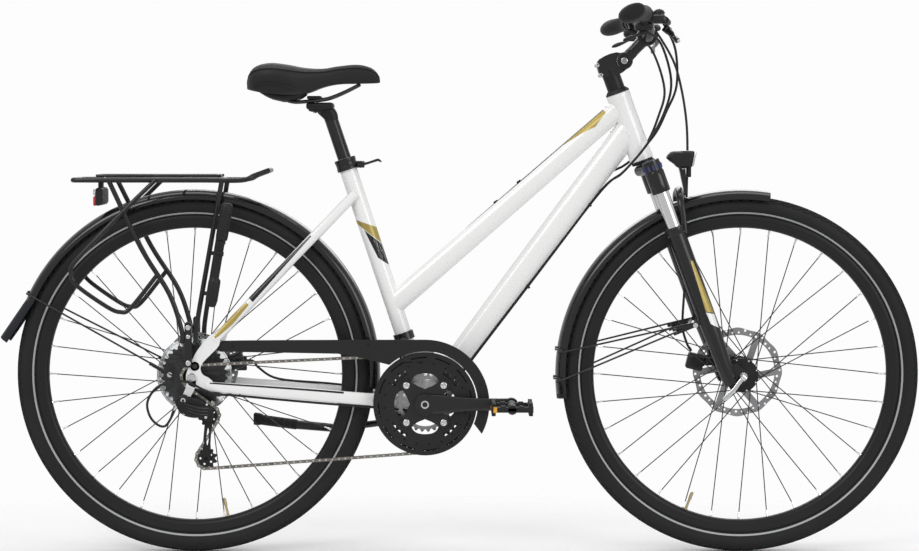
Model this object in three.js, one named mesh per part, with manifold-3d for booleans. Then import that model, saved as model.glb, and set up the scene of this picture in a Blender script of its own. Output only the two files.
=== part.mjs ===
// A trekking bicycle at full size: aluminium frame, suspension fork, adjustable stem,
// disc brakes, derailleur gears, fenders, carrier, lights, pump and kickstand.
// Millimetres. The origin is on the ground midway along the bicycle, +X points forward,
// +Y to the rider's left and +Z up. The chain side is -Y.
import * as THREE from 'three';
import { mergeVertices } from 'three/addons/utils/BufferGeometryUtils.js';
import Module from 'manifold-3d';

const wasm = await Module();
wasm.setup();

const radians = THREE.MathUtils.degToRad;

// Clearances
const gap = 0.3;
const runningGap = 1;
const overrun = 3;
const weldReach = 0.001;

// Wheels
const wheelbase = 1087;
const rearAxleX = -527;
const rim = { outerRadius: 317, depth: 25, width: 25, wall: 2.6, bedDepth: 13 };
const tyre = { height: 39, width: 47, beadDepth: 8, tread: 4, side: 3 };
const rimInner = rim.outerRadius - rim.depth;
const rimBed = rim.outerRadius - rim.bedDepth;
const tyreRadius = rim.outerRadius + tyre.height;
const beadRadius = rim.outerRadius - tyre.beadDepth;
const spoke = { radius: 1.1, dish: 3, flangeInset: 2.4, weave: 2.4 };
const rotor = { thickness: 1.8, trackDepth: 13, armWidth: 7, hubRadius: 22 };
const frontHub = {
  spacing: 100, flangeRadius: 34, flangeY: 29, flangeThickness: 3.5, shellRadius: 31,
  boreRadius: 6, rotorY: 41, rotorRadius: 90, noseRadius: 12,
};
const rearHub = {
  spacing: 135, flangeRadius: 29, flangeLeftY: 34, flangeRightY: -19, flangeThickness: 3.2, shellRadius: 17,
  boreRadius: 6, rotorY: 52, rotorRadius: 80, noseRadius: 10, freehubRadius: 15.6,
};
const guardDisc = { radius: 75, thickness: 1.2, y: -23 };
const axleRadius = 5;

// Drive train: toothed wheels share one pitch, and the chain runs in one plane.
const pitch = 12.7;
const chainY = -59;
const bottomBracketAhead = 459;
const bottomBracketDrop = 53;
const chain = { plateHeight: 7.4, plateThickness: 1.1, innerWidth: 3.2, webHeight: 6 };
const cassette = { teeth: [11, 13, 15, 18, 21, 24, 28, 32], spacing: 4.8, thickness: 1.8,
  coreRadius: 18.2 };
const rings = {
  teeth: [48, 38, 28], spacing: 8, thickness: 2.2, rimDepth: 9, boltCircle: 104, postRadius: 5, bolts: 4,
  discRadius: 102.5, discInner: 84, discThickness: 2.5, discInset: 6,
};
const pulley = { teeth: 10, thickness: 2.2, boreRadius: 3.2, upper: [32, -77], lower: [26, -162] };
const toothDepth = 3.4;

// Cranks and pedals
const crank = { length: 170, bossRadius: 21, tipRadius: 13.5, thickness: 13, innerY: 70, spiderRadius: 9 };
const spindle = { radius: 8.5, cupRadius: 18, cupLip: 3 };
const pedal = {
  length: 82, width: 92, height: 25, railWidth: 12, y: 132, axleRadius: 5.5, bodyRadius: 9,
    barThickness: 10,
};

// Frame
const seatTube = { lean: radians(18.4), length: 491, neck: 18, radius: 16.5, bore: 14, boreDepth: 270,
  flareRadius: 17.5 };
const headTube = { lean: radians(20.1), length: 140, radius: 24, bore: 15.5 };
const downTube = { headShare: 0.485, headDepth: 53, headWidth: 44, endDepth: 42, endWidth: 46 };
const topTube = { headShare: 0.82, seatShare: 0.411, headDepth: 39, headWidth: 37, endDepth: 43,
  endWidth: 33 };
const shell = { radius: 24, width: 73 };
const chainstay = { height: 25, width: 16, endHeight: 19, endWidth: 11 };
const seatstay = { height: 19, width: 15, endWidth: 10 };
const dropout = { thickness: 6, length: 66, height: 112 };
const hanger = { length: 44, radius: 8, back: 16 };
const frameTaper = {
  stayRootY: 26, waistBehind: 97, waistY: 37.5, waistLift: 5, kneeShare: 0.45, seatstayShare: 0.89,
  seatstayRootY: 17, seatstayKneeY: 41, bridgeRadius: 6, bridgeShare: 0.7, reachY: 90,
};
const boss = { radius: 5, height: 3, shares: [0.478, 0.579] };
const standPlate = { length: 44, height: 9, width: 60, drop: 14, behind: 55 };
const stand = {
  pivotBehind: 47, pivotDrop: 41, pivotY: 50, tilt: radians(25.8), bossRadius: 10, bossLength: 20,
    hubRadius: 11,
  hubLength: 11, blockLength: 26, blockWidth: 24, blockHeight: 46, legRadius: 7, sleeveRadius: 10,
  reach: [-44, -139, -215, -302], fall: [-13, -25, -18, -6], out: 12,
};

// Fork, built along the steering axis with the lower end of the head tube at zero
const fork = {
  rake: 38.6, length: 468.8, legAhead: 10.5, legY: 62, stanchionRadius: 14.5, sleeveRadius: 21,
    steererRadius: 14.3,
  raceRadius: 22, raceHeight: 6, crownHeight: 25, crownDepth: 44, sleeveEnd: 72, stanchionEnd: 290,
  lowerTop: 144, lowerEnd: 474, lowerRadius: 18.5, footRadius: 13.5, footHeight: 116, boreGap: 1,
    boreEnd: 350,
  archAhead: 42, archTop: 83, archDepth: 14, archWidth: 20, archShoulderY: 46,
  tipThickness: 8, tipRadius: 14, collarRadius: 20.5, collarHeight: 14,
};
const headCap = { radius: 24.5, neckRadius: 16.5, height: 17 };

// Stem and handlebar, placed from the stem's pivot
const stem = {
  tubeRadius: 15.5, bodyWidth: 34, pivotAhead: 33, pivotUp: 57, pivotRadius: 17, tongueWidth: 18,
    armWidth: 38,
  armDepth: 23, clampAhead: 45, clampUp: 48, clampRadius: 19, clampWidth: 44, hingeRadius: 5, earBack: 20,
  earRadius: 5.5, lowerEar: 46, upperEar: 67, boltReach: 20,
};
const bar = {
  radius: 12.7, endRadius: 11.1, clampHalf: 32, bendY: 128, bendBack: 9, bendRise: 34, halfWidth: 321,
    back: 40, rise: 39,
};
const grip = { from: 190, radius: 16, wingReach: 34, wingFrom: 236, wingThickness: 9, wingDrop: 7, cap: 5 };
const control = {
  from: 138, to: 178, radius: 16.5, bodyAhead: 30, bodyDrop: 16, bodyLength: 34, bodyWidth: 40,
    bodyHeight: 17,
  podBack: 4, podDrop: 22, podLength: 34, podWidth: 36, podHeight: 15,
};
const brakeLever = { pivotAhead: 41, pivotDrop: 27.5, tipAhead: 72, tipDrop: 58, tipY: 296, width: 14,
  thickness: 8, eye: 8 };
const shiftLever = { pivotBack: 4, pivotDrop: 29.8, length: 40, drop: 14, width: 16, thickness: 4, hub: 9 };

// Fenders: a curved strip round each wheel
const fender = { clearance: 13, depth: 19, width: 57, thickness: 2 };
const fenderRadius = tyreRadius + fender.clearance;
const frontFender = { from: radians(81), to: radians(186), flapLength: 10 };
const rearFender = { from: radians(-4), to: radians(156), flapLength: 91.2, flapLean: radians(-10.7) };
const stay = { radius: 2.2, clipLength: 12, clipRadius: 5 };
const frontStays = { eyeX: -95, eyeZ: 102, angles: [radians(172), radians(181)] };
const rearStays = { eyeX: -43, eyeY: 78, eyeZ: 6, angles: [radians(154)] };

// Seat
const seatpost = {
  radius: 13.6, rise: 94, insert: 150, headLength: 56, headHeight: 24, headWidth: 56, headBack: 18,
    boltRadius: 4,
};
const seatCollar = { radius: 21.5, height: 24, earLength: 20, earWidth: 12 };
const seatLever = { length: 44, width: 9, thickness: 7 };
const saddle = { length: 260, rearWidth: 182, height: 62, tailBack: 159.7, lift: 36.8 };
const rail = { radius: 3.5, y: 22, noseY: 12, dip: 14, rise: 8 };

// Carrier
const carrier = {
  tubeRadius: 5, railY: 60, legY: 79, deckZ: 744, rearX: -762, frontX: -419, hoopX: -378, hoopZ: 763,
  footZ: 376, footX: -533, footThickness: 4.5, footWidth: 18, footTopZ: 466, crossStep: 48,
};
const deckFlap = { radius: 3, rearX: -715, frontX: -470, y: 34 };
const rearLight = { length: 20, width: 88, height: 36, drop: 10 };

// Chain cover above the upper run
const chainCover = {
  radius: 127, depth: 23, rearDepth: 22, rearFall: 2, rearTip: 6.5, y: -65.6, width: 3.2, rearX: -474,
  from: radians(-28), innerTo: radians(132), dipX: -240, dipDepth: 28,
};

// Brakes, axles and small mechanisms
const caliper = {
  length: 40, height: 34, inside: 12, outside: 9, padReach: -4, slot: 3.6, footLength: 26, footWidth: 10,
  footHeight: 26, frontAngle: radians(166), rearAngle: radians(16), rearFootZ: 8,
};
const axle = { nutRadius: 9, nutWidth: 7, leverLength: 62, leverWidth: 8, leverLean: radians(41),
  camRadius: 6 };
const derailleur = {
  knuckle: 11, width: 15, armDepth: 17, kneeX: 14, kneeZ: -50, pivot: 11, boss: 9, cageHalf: 3.4,
    plate: 1.5,
  cageWidth: 15, cageEnd: 10, pin: 2.4,
};
const frontCage = {
  innerRadius: 102, outerRadius: 113, from: radians(80), to: radians(112), plateWidth: 1.2, outside: 3.9,
    inside: 3.9,
  bandShare: 0.26, bandHeight: 16, bandWall: 4, linkRadius: 6,
};
const pump = {
  x: -453, y: 97, topZ: 700, lean: radians(9.6), length: 206, handle: 74, handleRadius: 12, barrelRadius: 9,
  rodRadius: 4, wall: 8, clipRadius: 4, clips: [100, 180],
};
const headlight = {
  behind: 120, above: 428, length: 56, width: 52, height: 34, footBehind: 112, footAbove: 356,
    bracketWidth: 18,
  bracketThickness: 4,
};
const cables = { radius: 2.6, reach: 1000, guideWidth: 48, guideLength: 20 };

// Shared facet counts
const round = { wheel: 24, frame: 12, member: 10, hub: 12, tube: 8, rod: 6, cable: 4, carrier: 5, ring: 18,
  wire: 4, spoke: 3 };

// Main places, worked out from the sizes above
const point = (x, y, z) => new THREE.Vector3(x, y, z);
const across = point(0, 1, 0);
const axleZ = tyreRadius;
const rearAxle = point(rearAxleX, 0, axleZ);
const frontAxle = point(rearAxleX + wheelbase, 0, axleZ);
const bottomBracket = point(rearAxleX + bottomBracketAhead, 0, axleZ - bottomBracketDrop);
const leaning = (lean) => point(-Math.sin(lean), 0, Math.cos(lean));
const seatUp = leaning(seatTube.lean);
const headUp = leaning(headTube.lean);
const headAhead = point(headUp.z, 0, -headUp.x);
const headBottom = frontAxle.clone().addScaledVector(headAhead, -fork.rake).addScaledVector(headUp,
  fork.length);
const alongHead = (share) => headBottom.clone().addScaledVector(headUp, headTube.length * share);
const alongSeat = (share) => bottomBracket.clone().addScaledVector(seatUp, seatTube.length * share);
const headTop = alongHead(1);
const seatTop = alongSeat(1).addScaledVector(seatUp, seatTube.neck);
const pivot = headTop.clone().addScaledVector(headUp, stem.pivotUp).addScaledVector(headAhead,
  stem.pivotAhead);

// Turns a geometry inside out where its faces point inward.
function facingOut(geometry) {
  const place = geometry.attributes.position;
  const index = geometry.index.array;
  const [a, b, c] = [point(0, 0, 0), point(0, 0, 0), point(0, 0, 0)];
  let volume = 0;
  for (let i = 0; i < index.length; i += 3) {
    a.fromBufferAttribute(place, index[i]);
    b.fromBufferAttribute(place, index[i + 1]);
    c.fromBufferAttribute(place, index[i + 2]);
    volume += a.dot(b.cross(c));
  }
  if (volume < 0) {
    for (let i = 0; i < index.length; i += 3) [index[i], index[i + 1]] = [index[i + 1], index[i]];
  }
  return geometry;
}

// Leaves only shared positions, so that a closed surface is closed in its indices too.
function welded(geometry) {
  geometry.deleteAttribute('normal');
  geometry.deleteAttribute('uv');
  return facingOut(mergeVertices(geometry, weldReach));
}

function solidOf(geometry) {
  const vertProperties = new Float32Array(geometry.attributes.position.array);
  const triVerts = new Uint32Array(geometry.index.array);
  return new wasm.Manifold(new wasm.Mesh({ numProp: 3, vertProperties, triVerts }));
}

function geometryOf(solid) {
  const mesh = solid.getMesh();
  const geometry = new THREE.BufferGeometry();
  geometry.setAttribute('position', new THREE.BufferAttribute(new Float32Array(mesh.vertProperties), 3));
  geometry.setIndex(new THREE.BufferAttribute(new Uint32Array(mesh.triVerts), 1));
  return geometry;
}

function join(...geometries) {
  return geometryOf(geometries.flat().map(solidOf).reduce((whole, next) => whole.add(next)));
}

function cut(geometry, ...tools) {
  return geometryOf(tools.flat().map(solidOf).reduce((whole, next) => whole.subtract(next),
    solidOf(geometry)));
}

function moved(geometry, offset) {
  return geometry.clone().translate(offset.x, offset.y, offset.z);
}

function mirrored(geometry) {
  return facingOut(geometry.clone().scale(1, -1, 1));
}

// Points of a circle, or of an ellipse where the second radius is given
function circle(radius, sides, second = radius, from = 0) {
  return Array.from({ length: sides }, (_, i) => {
    const angle = from + (2 * Math.PI * i) / sides;
    return [radius * Math.cos(angle), second * Math.sin(angle)];
  });
}

function ringPoints(radius, count, centre = [0, 0]) {
  return circle(radius, count).map(([x, z]) => [centre[0] + x, centre[1] + z]);
}

// A round bar between two points
function rod(from, to, radius, sides = round.rod, endRadius = radius) {
  const span = to.clone().sub(from);
  const bar = welded(new THREE.CylinderGeometry(endRadius, radius, span.length(), sides));
  bar.applyQuaternion(new THREE.Quaternion().setFromUnitVectors(across, span.clone().normalize()));
  return moved(bar, from.clone().addScaledVector(span, 1 / 2));
}

function block(length, width, height, centre, lean = 0) {
  const box = welded(new THREE.BoxGeometry(length, width, height));
  return moved(box.rotateY(lean), centre);
}

// A round tube along a smooth curve
function bentTube(points, radius, sides, steps) {
  const shape = new THREE.Shape(circle(radius, sides).map((p) => new THREE.Vector2(...p)));
  const extrudePath = new THREE.CatmullRomCurve3(points, false, 'centripetal');
  return welded(new THREE.ExtrudeGeometry(shape, { steps, bevelEnabled: false, extrudePath }));
}

// A profile of [radius, sideways] points turned about the lateral axis, closing on itself
function turned(profile, sides) {
  const points = [...profile, profile[0]].map(([radius, y]) => new THREE.Vector2(radius, y));
  return welded(new THREE.LatheGeometry(points, sides));
}

function disc(radius, fromY, toY, sides) {
  return rod(point(0, fromY, 0), point(0, toY, 0), radius, sides);
}

// A flat plate standing in the plane of the wheels: outline and holes in [x, z]
function plate(outline, fromY, toY, holes = []) {
  const shape = new THREE.Shape(outline.map((p) => new THREE.Vector2(...p)));
  for (const hole of holes) shape.holes.push(new THREE.Path(hole.map((p) => new THREE.Vector2(...p))));
  const flat = welded(new THREE.ExtrudeGeometry(shape, { depth: toY - fromY, bevelEnabled: false }));
  return facingOut(flat.rotateX(Math.PI / 2).translate(0, toY, 0));
}

// A closed outline carried through a list of places, each with an origin and two directions
function swept(outline, places) {
  const flat = outline.map((p) => new THREE.Vector2(...p));
  if (THREE.ShapeUtils.isClockWise(flat)) flat.reverse();
  const count = flat.length;
  const positions = places.flatMap(({ origin, first, second, wide = 1, tall = 1 }) =>
    flat.flatMap(({ x, y }) =>
      origin.clone().addScaledVector(first, x * wide).addScaledVector(second, y * tall).toArray()));
  const last = (places.length - 1) * count;
  const index = THREE.ShapeUtils.triangulateShape(flat, [])
    .flatMap(([a, b, c]) => [a, c, b, last + a, last + b, last + c]);
  for (let row = 0; row < last; row += count) {
    for (let i = 0; i < count; i += 1) {
      const [a, b] = [row + i, row + ((i + 1) % count)];
      index.push(a, b, b + count, a, b + count, a + count);
    }
  }
  const geometry = new THREE.BufferGeometry();
  geometry.setAttribute('position', new THREE.Float32BufferAttribute(positions, 3));
  geometry.setIndex(new THREE.BufferAttribute(new Uint32Array(index), 1));
  return facingOut(geometry);
}

// A frame member with an oval section: each station is { at, depth, width }
function member(stations, sides = round.member) {
  const places = stations.map(({ at, depth, width }, i) => {
    const before = stations[Math.max(i - 1, 0)].at;
    const after = stations[Math.min(i + 1, stations.length - 1)].at;
    const along = after.clone().sub(before).normalize();
    const second = across.clone().cross(along).normalize();
    return { origin: at, first: across, second, wide: width / 2, tall: depth / 2 };
  });
  return swept(circle(1, sides), places);
}

// A member that runs sideways, its oval section standing in the plane of the wheels
function crossMember(stations, sides = round.member) {
  const places = stations.map(({ at, length, height }) =>
    ({ origin: at, first: point(1, 0, 0), second: point(0, 0, 1), wide: length / 2, tall: height / 2 }));
  return swept(circle(1, sides), places);
}

// A bent round bar with one ring of corners at each point
function wire(points, radius, sides = round.rod) {
  let first = across;
  const places = points.map((at, i) => {
    const along = points[Math.min(i + 1,
      points.length - 1)].clone().sub(points[Math.max(i - 1, 0)]).normalize();
    if (Math.abs(first.dot(along)) > 1 - radians(1)) first = point(0, 0, 1);
    first = first.clone().addScaledVector(along, -first.dot(along)).normalize();
    return { origin: at, first, second: along.clone().cross(first) };
  });
  return swept(circle(radius, sides), places);
}

const touring = new THREE.Group();

function group(parent, place) {
  const made = new THREE.Group();
  made.position.copy(place);
  parent.add(made);
  return made;
}

function addPiece(parent, name, geometry, { color, roughness, metalness }) {
  const mesh = new THREE.Mesh(geometry, new THREE.MeshStandardMaterial({ color, roughness, metalness }));
  mesh.geometry.computeVertexNormals();
  mesh.name = name;
  parent.add(mesh);
  return mesh;
}

// Finishes
const whitePaint = { color: 0xf2f2f0, roughness: 0.25, metalness: 0 };
const blackPaint = { color: 0x1b1b1d, roughness: 0.45, metalness: 0.2 };
const blackPlastic = { color: 0x202022, roughness: 0.55, metalness: 0 };
const blackRubber = { color: 0x1a1a1b, roughness: 0.85, metalness: 0 };
const tyreRubber = { color: 0x242426, roughness: 0.9, metalness: 0 };
const silver = { color: 0xc4c7ca, roughness: 0.25, metalness: 1 };
const steel = { color: 0x8f9296, roughness: 0.35, metalness: 1 };
const redLens = { color: 0xb01818, roughness: 0.2, metalness: 0 };
const leather = { color: 0x1d1d1f, roughness: 0.6, metalness: 0 };

// Toothed disc of the shared pitch, bored through
function pitchRadius(teeth) {
  return pitch / 2 / Math.sin(Math.PI / teeth);
}

function toothed(teeth, fromY, toY, bore) {
  const middle = pitchRadius(teeth);
  const outline = Array.from({ length: teeth * 2 }, (_, i) => {
    const radius = middle + (i % 2 ? toothDepth / 2 : -toothDepth);
    const angle = (Math.PI * i) / teeth;
    return [radius * Math.cos(angle), radius * Math.sin(angle)];
  });
  return plate(outline, fromY, toY, [ringPoints(bore, round.hub)]);
}

// Tyre: an open casing whose beads sit inside the rim
function makeTyre() {
  const beadY = rim.width / 2 - rim.wall - gap;
  const half = tyre.width / 2;
  const middle = tyreRadius - half;
  const lip = rim.outerRadius + gap;
  const side = [
    [beadRadius, beadY], [lip, beadY], [middle, half], [middle + half * 0.66, half * 0.76],
  ];
  const crown = [tyreRadius, 0];
  const crownInside = [tyreRadius - tyre.tread, 0];
  const opposite = (points) => points.map(([r, y]) => [r, -y]).reverse();
  const beadInside = [beadRadius, beadY - tyre.side];
  return turned([
    ...side, crown, ...opposite(side), ...opposite([beadInside]), crownInside, beadInside,
  ], round.wheel);
}

function makeRim() {
  const half = rim.width / 2;
  const inner = half - rim.wall;
  const right = [
    [rim.outerRadius, inner], [rim.outerRadius, half], [rimBed, half], [rimInner, half / 2],
  ];
  const left = right.map(([r, y]) => [r, -y]).reverse();
  const well = [[rimBed, -inner], [rimBed, inner]];
  return turned([...right, ...left, ...well], round.wheel);
}

// Spokes of one wheel: eight leading and eight trailing on each flange
function makeSpokes(hub, flangeLeftY, flangeRightY) {
  const perWheel = 32;
  const lean = radians(60);
  return Array.from({ length: perWheel }, (_, i) => {
    const left = i % 2 === 0;
    const leading = i % 4 < 2 ? 1 : -1;
    const rimAngle = (2 * Math.PI * i) / perWheel;
    const hubAngle = rimAngle + leading * lean;
    const hubRadius = hub.flangeRadius - spoke.flangeInset;
    const rimRadius = rimInner * Math.cos(Math.PI / round.wheel) - gap;
    const hubY = (left ? flangeLeftY : flangeRightY) + leading * spoke.weave;
    const from = point(hubRadius * Math.cos(hubAngle), hubY, hubRadius * Math.sin(hubAngle));
    const to = point(rimRadius * Math.cos(rimAngle), left ? spoke.dish : -spoke.dish,
      rimRadius * Math.sin(rimAngle));
    return rod(from, to, spoke.radius, round.spoke);
  });
}

function makeFrontHub() {
  const { spacing, flangeRadius, flangeY, flangeThickness, shellRadius, boreRadius, rotorY,
    noseRadius } = frontHub;
  const end = spacing / 2 - gap;
  const mount = rotorY - rotor.thickness / 2 - gap;
  const body = turned([
    [boreRadius, -end], [noseRadius, -end], [noseRadius, -flangeY - flangeThickness],
    [flangeRadius, -flangeY - flangeThickness], [flangeRadius, -flangeY + flangeThickness],
    [shellRadius, -flangeY + flangeThickness], [shellRadius, flangeY - flangeThickness],
    [flangeRadius, flangeY - flangeThickness], [flangeRadius, flangeY + flangeThickness],
    [rotor.hubRadius, flangeY + flangeThickness], [rotor.hubRadius, mount],
    [noseRadius, mount], [noseRadius, end], [boreRadius, end],
  ], round.hub);
  return join(body, makeSpokes(frontHub, flangeY, -flangeY));
}

function makeRearHub() {
  const { spacing, flangeRadius, flangeLeftY, flangeRightY, flangeThickness, shellRadius,
    boreRadius } = rearHub;
  const { rotorY, noseRadius, freehubRadius } = rearHub;
  const end = spacing / 2 - gap;
  const mount = rotorY - rotor.thickness / 2 - gap;
  const freehubEnd = chainY - cassette.thickness;
  const body = turned([
    [boreRadius, -end], [noseRadius, -end], [noseRadius, freehubEnd], [freehubRadius, freehubEnd],
    [freehubRadius, flangeRightY - flangeThickness / 2], [flangeRadius, flangeRightY - flangeThickness / 2],
    [flangeRadius, flangeRightY + flangeThickness], [shellRadius, flangeRightY + flangeThickness],
    [shellRadius, flangeLeftY - flangeThickness], [flangeRadius, flangeLeftY - flangeThickness],
    [flangeRadius, flangeLeftY + flangeThickness], [rotor.hubRadius, flangeLeftY + flangeThickness],
    [rotor.hubRadius, mount], [noseRadius, mount], [noseRadius, end], [boreRadius, end],
  ], round.hub);
  return join(body, makeSpokes(rearHub, flangeLeftY, flangeRightY + flangeThickness / 4));
}

// Brake rotor: a braking track carried by six arms
function makeRotor(hub) {
  const track = hub.rotorRadius - rotor.trackDepth;
  const arms = 6;
  const windows = Array.from({ length: arms }, (_, i) => {
    const half = Math.PI / arms - rotor.armWidth / track;
    const middle = (2 * Math.PI * i) / arms;
    const inner = rotor.hubRadius + rotor.armWidth;
    return [[track, half], [track, -half], [inner, -half / 2], [inner, half / 2]]
      .map(([radius, angle]) => [radius * Math.cos(middle + angle), radius * Math.sin(middle + angle)]);
  });
  const bore = ringPoints(hub.noseRadius + gap, round.hub);
  const fromY = hub.rotorY - rotor.thickness / 2;
  return plate(ringPoints(hub.rotorRadius, round.wheel), fromY, fromY + rotor.thickness,
    [bore, ...windows]);
}

// Cassette: eight sprockets on one core, the spoke protector behind the largest
function makeCassette() {
  const { teeth, spacing, thickness, coreRadius } = cassette;
  const bore = rearHub.freehubRadius + gap;
  const half = thickness / 2;
  const places = teeth.map((count, i) => ({ count, y: chainY + spacing * i }));
  const toothedOnes = [places[0], places[places.length - 1]]
    .map(({ count, y }) => toothed(count, y - half, y + half, bore));
  const steps = places.slice(1, -1).flatMap(({ count, y }) => [
    [coreRadius, y - half], [pitchRadius(count), y], [coreRadius, y + half],
  ]);
  const stack = turned([
    [bore, chainY], [coreRadius, chainY], ...steps, [coreRadius, guardDisc.y - guardDisc.thickness],
    [guardDisc.radius, guardDisc.y - guardDisc.thickness], [guardDisc.radius, guardDisc.y],
    [bore, guardDisc.y],
  ], round.hub);
  return join(stack, ...toothedOnes);
}

function makeWheel(parent, end, axle, hub, makeHub) {
  const wheel = group(parent, axle);
  addPiece(wheel, `${end}_tyre`, makeTyre(), tyreRubber);
  addPiece(wheel, `${end}_rim`, makeRim(), blackPaint);
  addPiece(wheel, `${end}_hub`, makeHub(), blackPaint);
  addPiece(wheel, `${end}_rotor`, makeRotor(hub), steel);
  return wheel;
}

makeWheel(touring, 'front', frontAxle, frontHub, makeFrontHub);
const rearWheel = makeWheel(touring, 'rear', rearAxle, rearHub, makeRearHub);
addPiece(rearWheel, 'cassette', makeCassette(), steel);

// Point given from the rear axle, in the plane y
const fromRear = (x, y, z) => rearAxle.clone().add(point(x, y, z));
const fromBracket = (x, y, z) => bottomBracket.clone().add(point(x, y, z));

// Frame
const dropoutInner = rearHub.spacing / 2;
const stayEndY = dropoutInner + dropout.thickness - chainstay.endWidth / 4;

function dropoutOutline() {
  const shares = [
    [0.58, 0.76], [0.84, 0.68], [0.8, 0.55], [0.64, 0.45], [0.44, 0.33], [0.32, 0.22], [0.32, 0.12],
    [0.5, 0.02], [0.62, -0.09], [0.62, -0.16], [0.45, -0.24], [-0.12, -0.16], [-0.21, 0.02], [-0.13, 0.24],
    [0.02, 0.44],
  ];
  return shares.map(([x, z]) => [x * dropout.length, z * dropout.height]);
}

function makeDropout(side) {
  const inner = side * dropoutInner;
  const outer = inner + side * dropout.thickness;
  return moved(plate(dropoutOutline(), Math.min(inner, outer), Math.max(inner, outer)), rearAxle);
}

function makeHanger() {
  const eye = fromRear(-hanger.back, 0, -hanger.length);
  const outline = [
    [-hanger.back - hanger.radius, -hanger.length - hanger.radius / 2],
    [-hanger.back, -hanger.length - hanger.radius],
    [-hanger.back + hanger.radius, -hanger.length - hanger.radius / 2], [hanger.radius, -hanger.length / 3],
    [hanger.radius, 0], [-hanger.radius, 0],
  ];
  const outerY = -dropoutInner - dropout.thickness;
  const tab = moved(plate(outline, outerY, outerY + dropout.thickness), rearAxle);
  return { tab, eye };
}

function makeChainstayTool() {
  return makeChainstay(1, gap * 2);
}

function makeChainstay(side, extra = 0) {
  const start = fromBracket(0, side * frameTaper.stayRootY, 0);
  const waist = fromBracket(-frameTaper.waistBehind, side * frameTaper.waistY, frameTaper.waistLift);
  const end = fromRear(dropout.length * 0.42, side * stayEndY, -dropout.height * 0.16);
  const knee = waist.clone().lerp(end, frameTaper.kneeShare);
  const [depth, width] = [chainstay.height + extra, chainstay.width + extra];
  return member([
    { at: start, depth, width }, { at: waist, depth, width }, { at: knee, depth, width },
    { at: end, depth: chainstay.endHeight + extra, width: chainstay.endWidth + extra },
  ]);
}

const seatstayRoot = (side) => alongSeat(frameTaper.seatstayShare).add(point(0,
  side * frameTaper.seatstayRootY, 0));
const seatstayEnd = (side) => fromRear(dropout.length * 0.68, side * stayEndY, dropout.height * 0.66);

// Share of the seatstay at which a bridge just clears the rear fender
function seatstayBridgeShare() {
  const from = seatstayRoot(0).sub(rearAxle);
  const run = seatstayEnd(0).sub(rearAxle).sub(from);
  const reach = fenderRadius - runningGap + frameTaper.bridgeRadius;
  const [a, b, c] = [run.lengthSq(), from.dot(run), from.lengthSq() - reach ** 2];
  return (-b - Math.sqrt(b ** 2 - a * c)) / a;
}

function makeSeatstay(side) {
  const start = seatstayRoot(side);
  const end = seatstayEnd(side);
  const knee = start.clone().lerp(end, seatstayBridgeShare());
  knee.y = side * frameTaper.seatstayKneeY;
  return member([
    { at: start, depth: seatstay.height, width: seatstay.width },
    { at: knee, depth: seatstay.height, width: seatstay.width },
    { at: end, depth: seatstay.height, width: seatstay.endWidth },
  ]);
}

function makeFrame() {
  const head = rod(alongHead(0), alongHead(1), headTube.radius, round.hub);
  const seat = rod(bottomBracket, seatTop, seatTube.radius, round.hub, seatTube.flareRadius);
  const down = member([
    { at: alongHead(downTube.headShare), depth: downTube.headDepth, width: downTube.headWidth },
    { at: bottomBracket, depth: downTube.endDepth, width: downTube.endWidth },
  ]);
  const top = member([
    { at: alongHead(topTube.headShare), depth: topTube.headDepth, width: topTube.headWidth },
    { at: alongSeat(topTube.seatShare), depth: topTube.endDepth, width: topTube.endWidth },
  ]);
  const bracketShell = moved(disc(shell.radius, -shell.width / 2, shell.width / 2, round.hub),
    bottomBracket);
  const bridgeEnds = [1, -1].map((side) => fromBracket(
    -frameTaper.waistBehind * frameTaper.bridgeShare, side * frameTaper.waistY * frameTaper.bridgeShare,
    frameTaper.waistLift,
  ));
  const bridge = rod(...bridgeEnds, frameTaper.bridgeRadius);
  const crownBridge = rod(seatstayRoot(1), seatstayRoot(-1), frameTaper.bridgeRadius);
  const fenderBridgeEnds = [1, -1].map((side) => {
    const place = seatstayRoot(0).lerp(seatstayEnd(0), seatstayBridgeShare());
    return place.add(point(0, side * frameTaper.seatstayKneeY, 0));
  });
  const fenderBridge = rod(...fenderBridgeEnds, frameTaper.bridgeRadius);
  const standSeat = block(standPlate.length, standPlate.width, standPlate.height, standCentre);
  const body = join(
    head, seat, down, top, bracketShell, bridge, crownBridge, fenderBridge, standSeat, makeStandBoss(),
    makeChainstay(1), makeChainstay(-1), makeSeatstay(1), makeSeatstay(-1), makeDropout(1), makeDropout(-1),
    makeHanger().tab, makeBottleBosses(),
  );
  return cut(
    body,
    rod(alongHead(0).addScaledVector(headUp, -overrun), alongHead(1).addScaledVector(headUp, overrun),
      headTube.bore, round.hub),
    rod(seatTop.clone().addScaledVector(seatUp, -seatTube.boreDepth),
      seatTop.clone().addScaledVector(seatUp, overrun),
      seatTube.bore, round.hub),
    moved(disc(spindle.cupRadius + gap, -shell.width / 2 - overrun, shell.width / 2 + overrun, round.hub),
      bottomBracket),
    moved(disc(axleRadius + gap, -frameTaper.reachY, frameTaper.reachY, round.tube), rearAxle),
  );
}

// Two threaded bosses on the top tube that can carry a bottle cage
function makeBottleBosses() {
  const [from, to] = [alongSeat(topTube.seatShare), alongHead(topTube.headShare)];
  const along = to.clone().sub(from).normalize();
  const up = along.clone().cross(across).normalize();
  return boss.shares.map((share) => {
    const foot = from.clone().lerp(to, share);
    const depth = topTube.endDepth + (topTube.headDepth - topTube.endDepth) * share;
    return rod(foot, foot.clone().addScaledVector(up, depth / 2 + boss.height), boss.radius, round.rod);
  });
}

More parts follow.
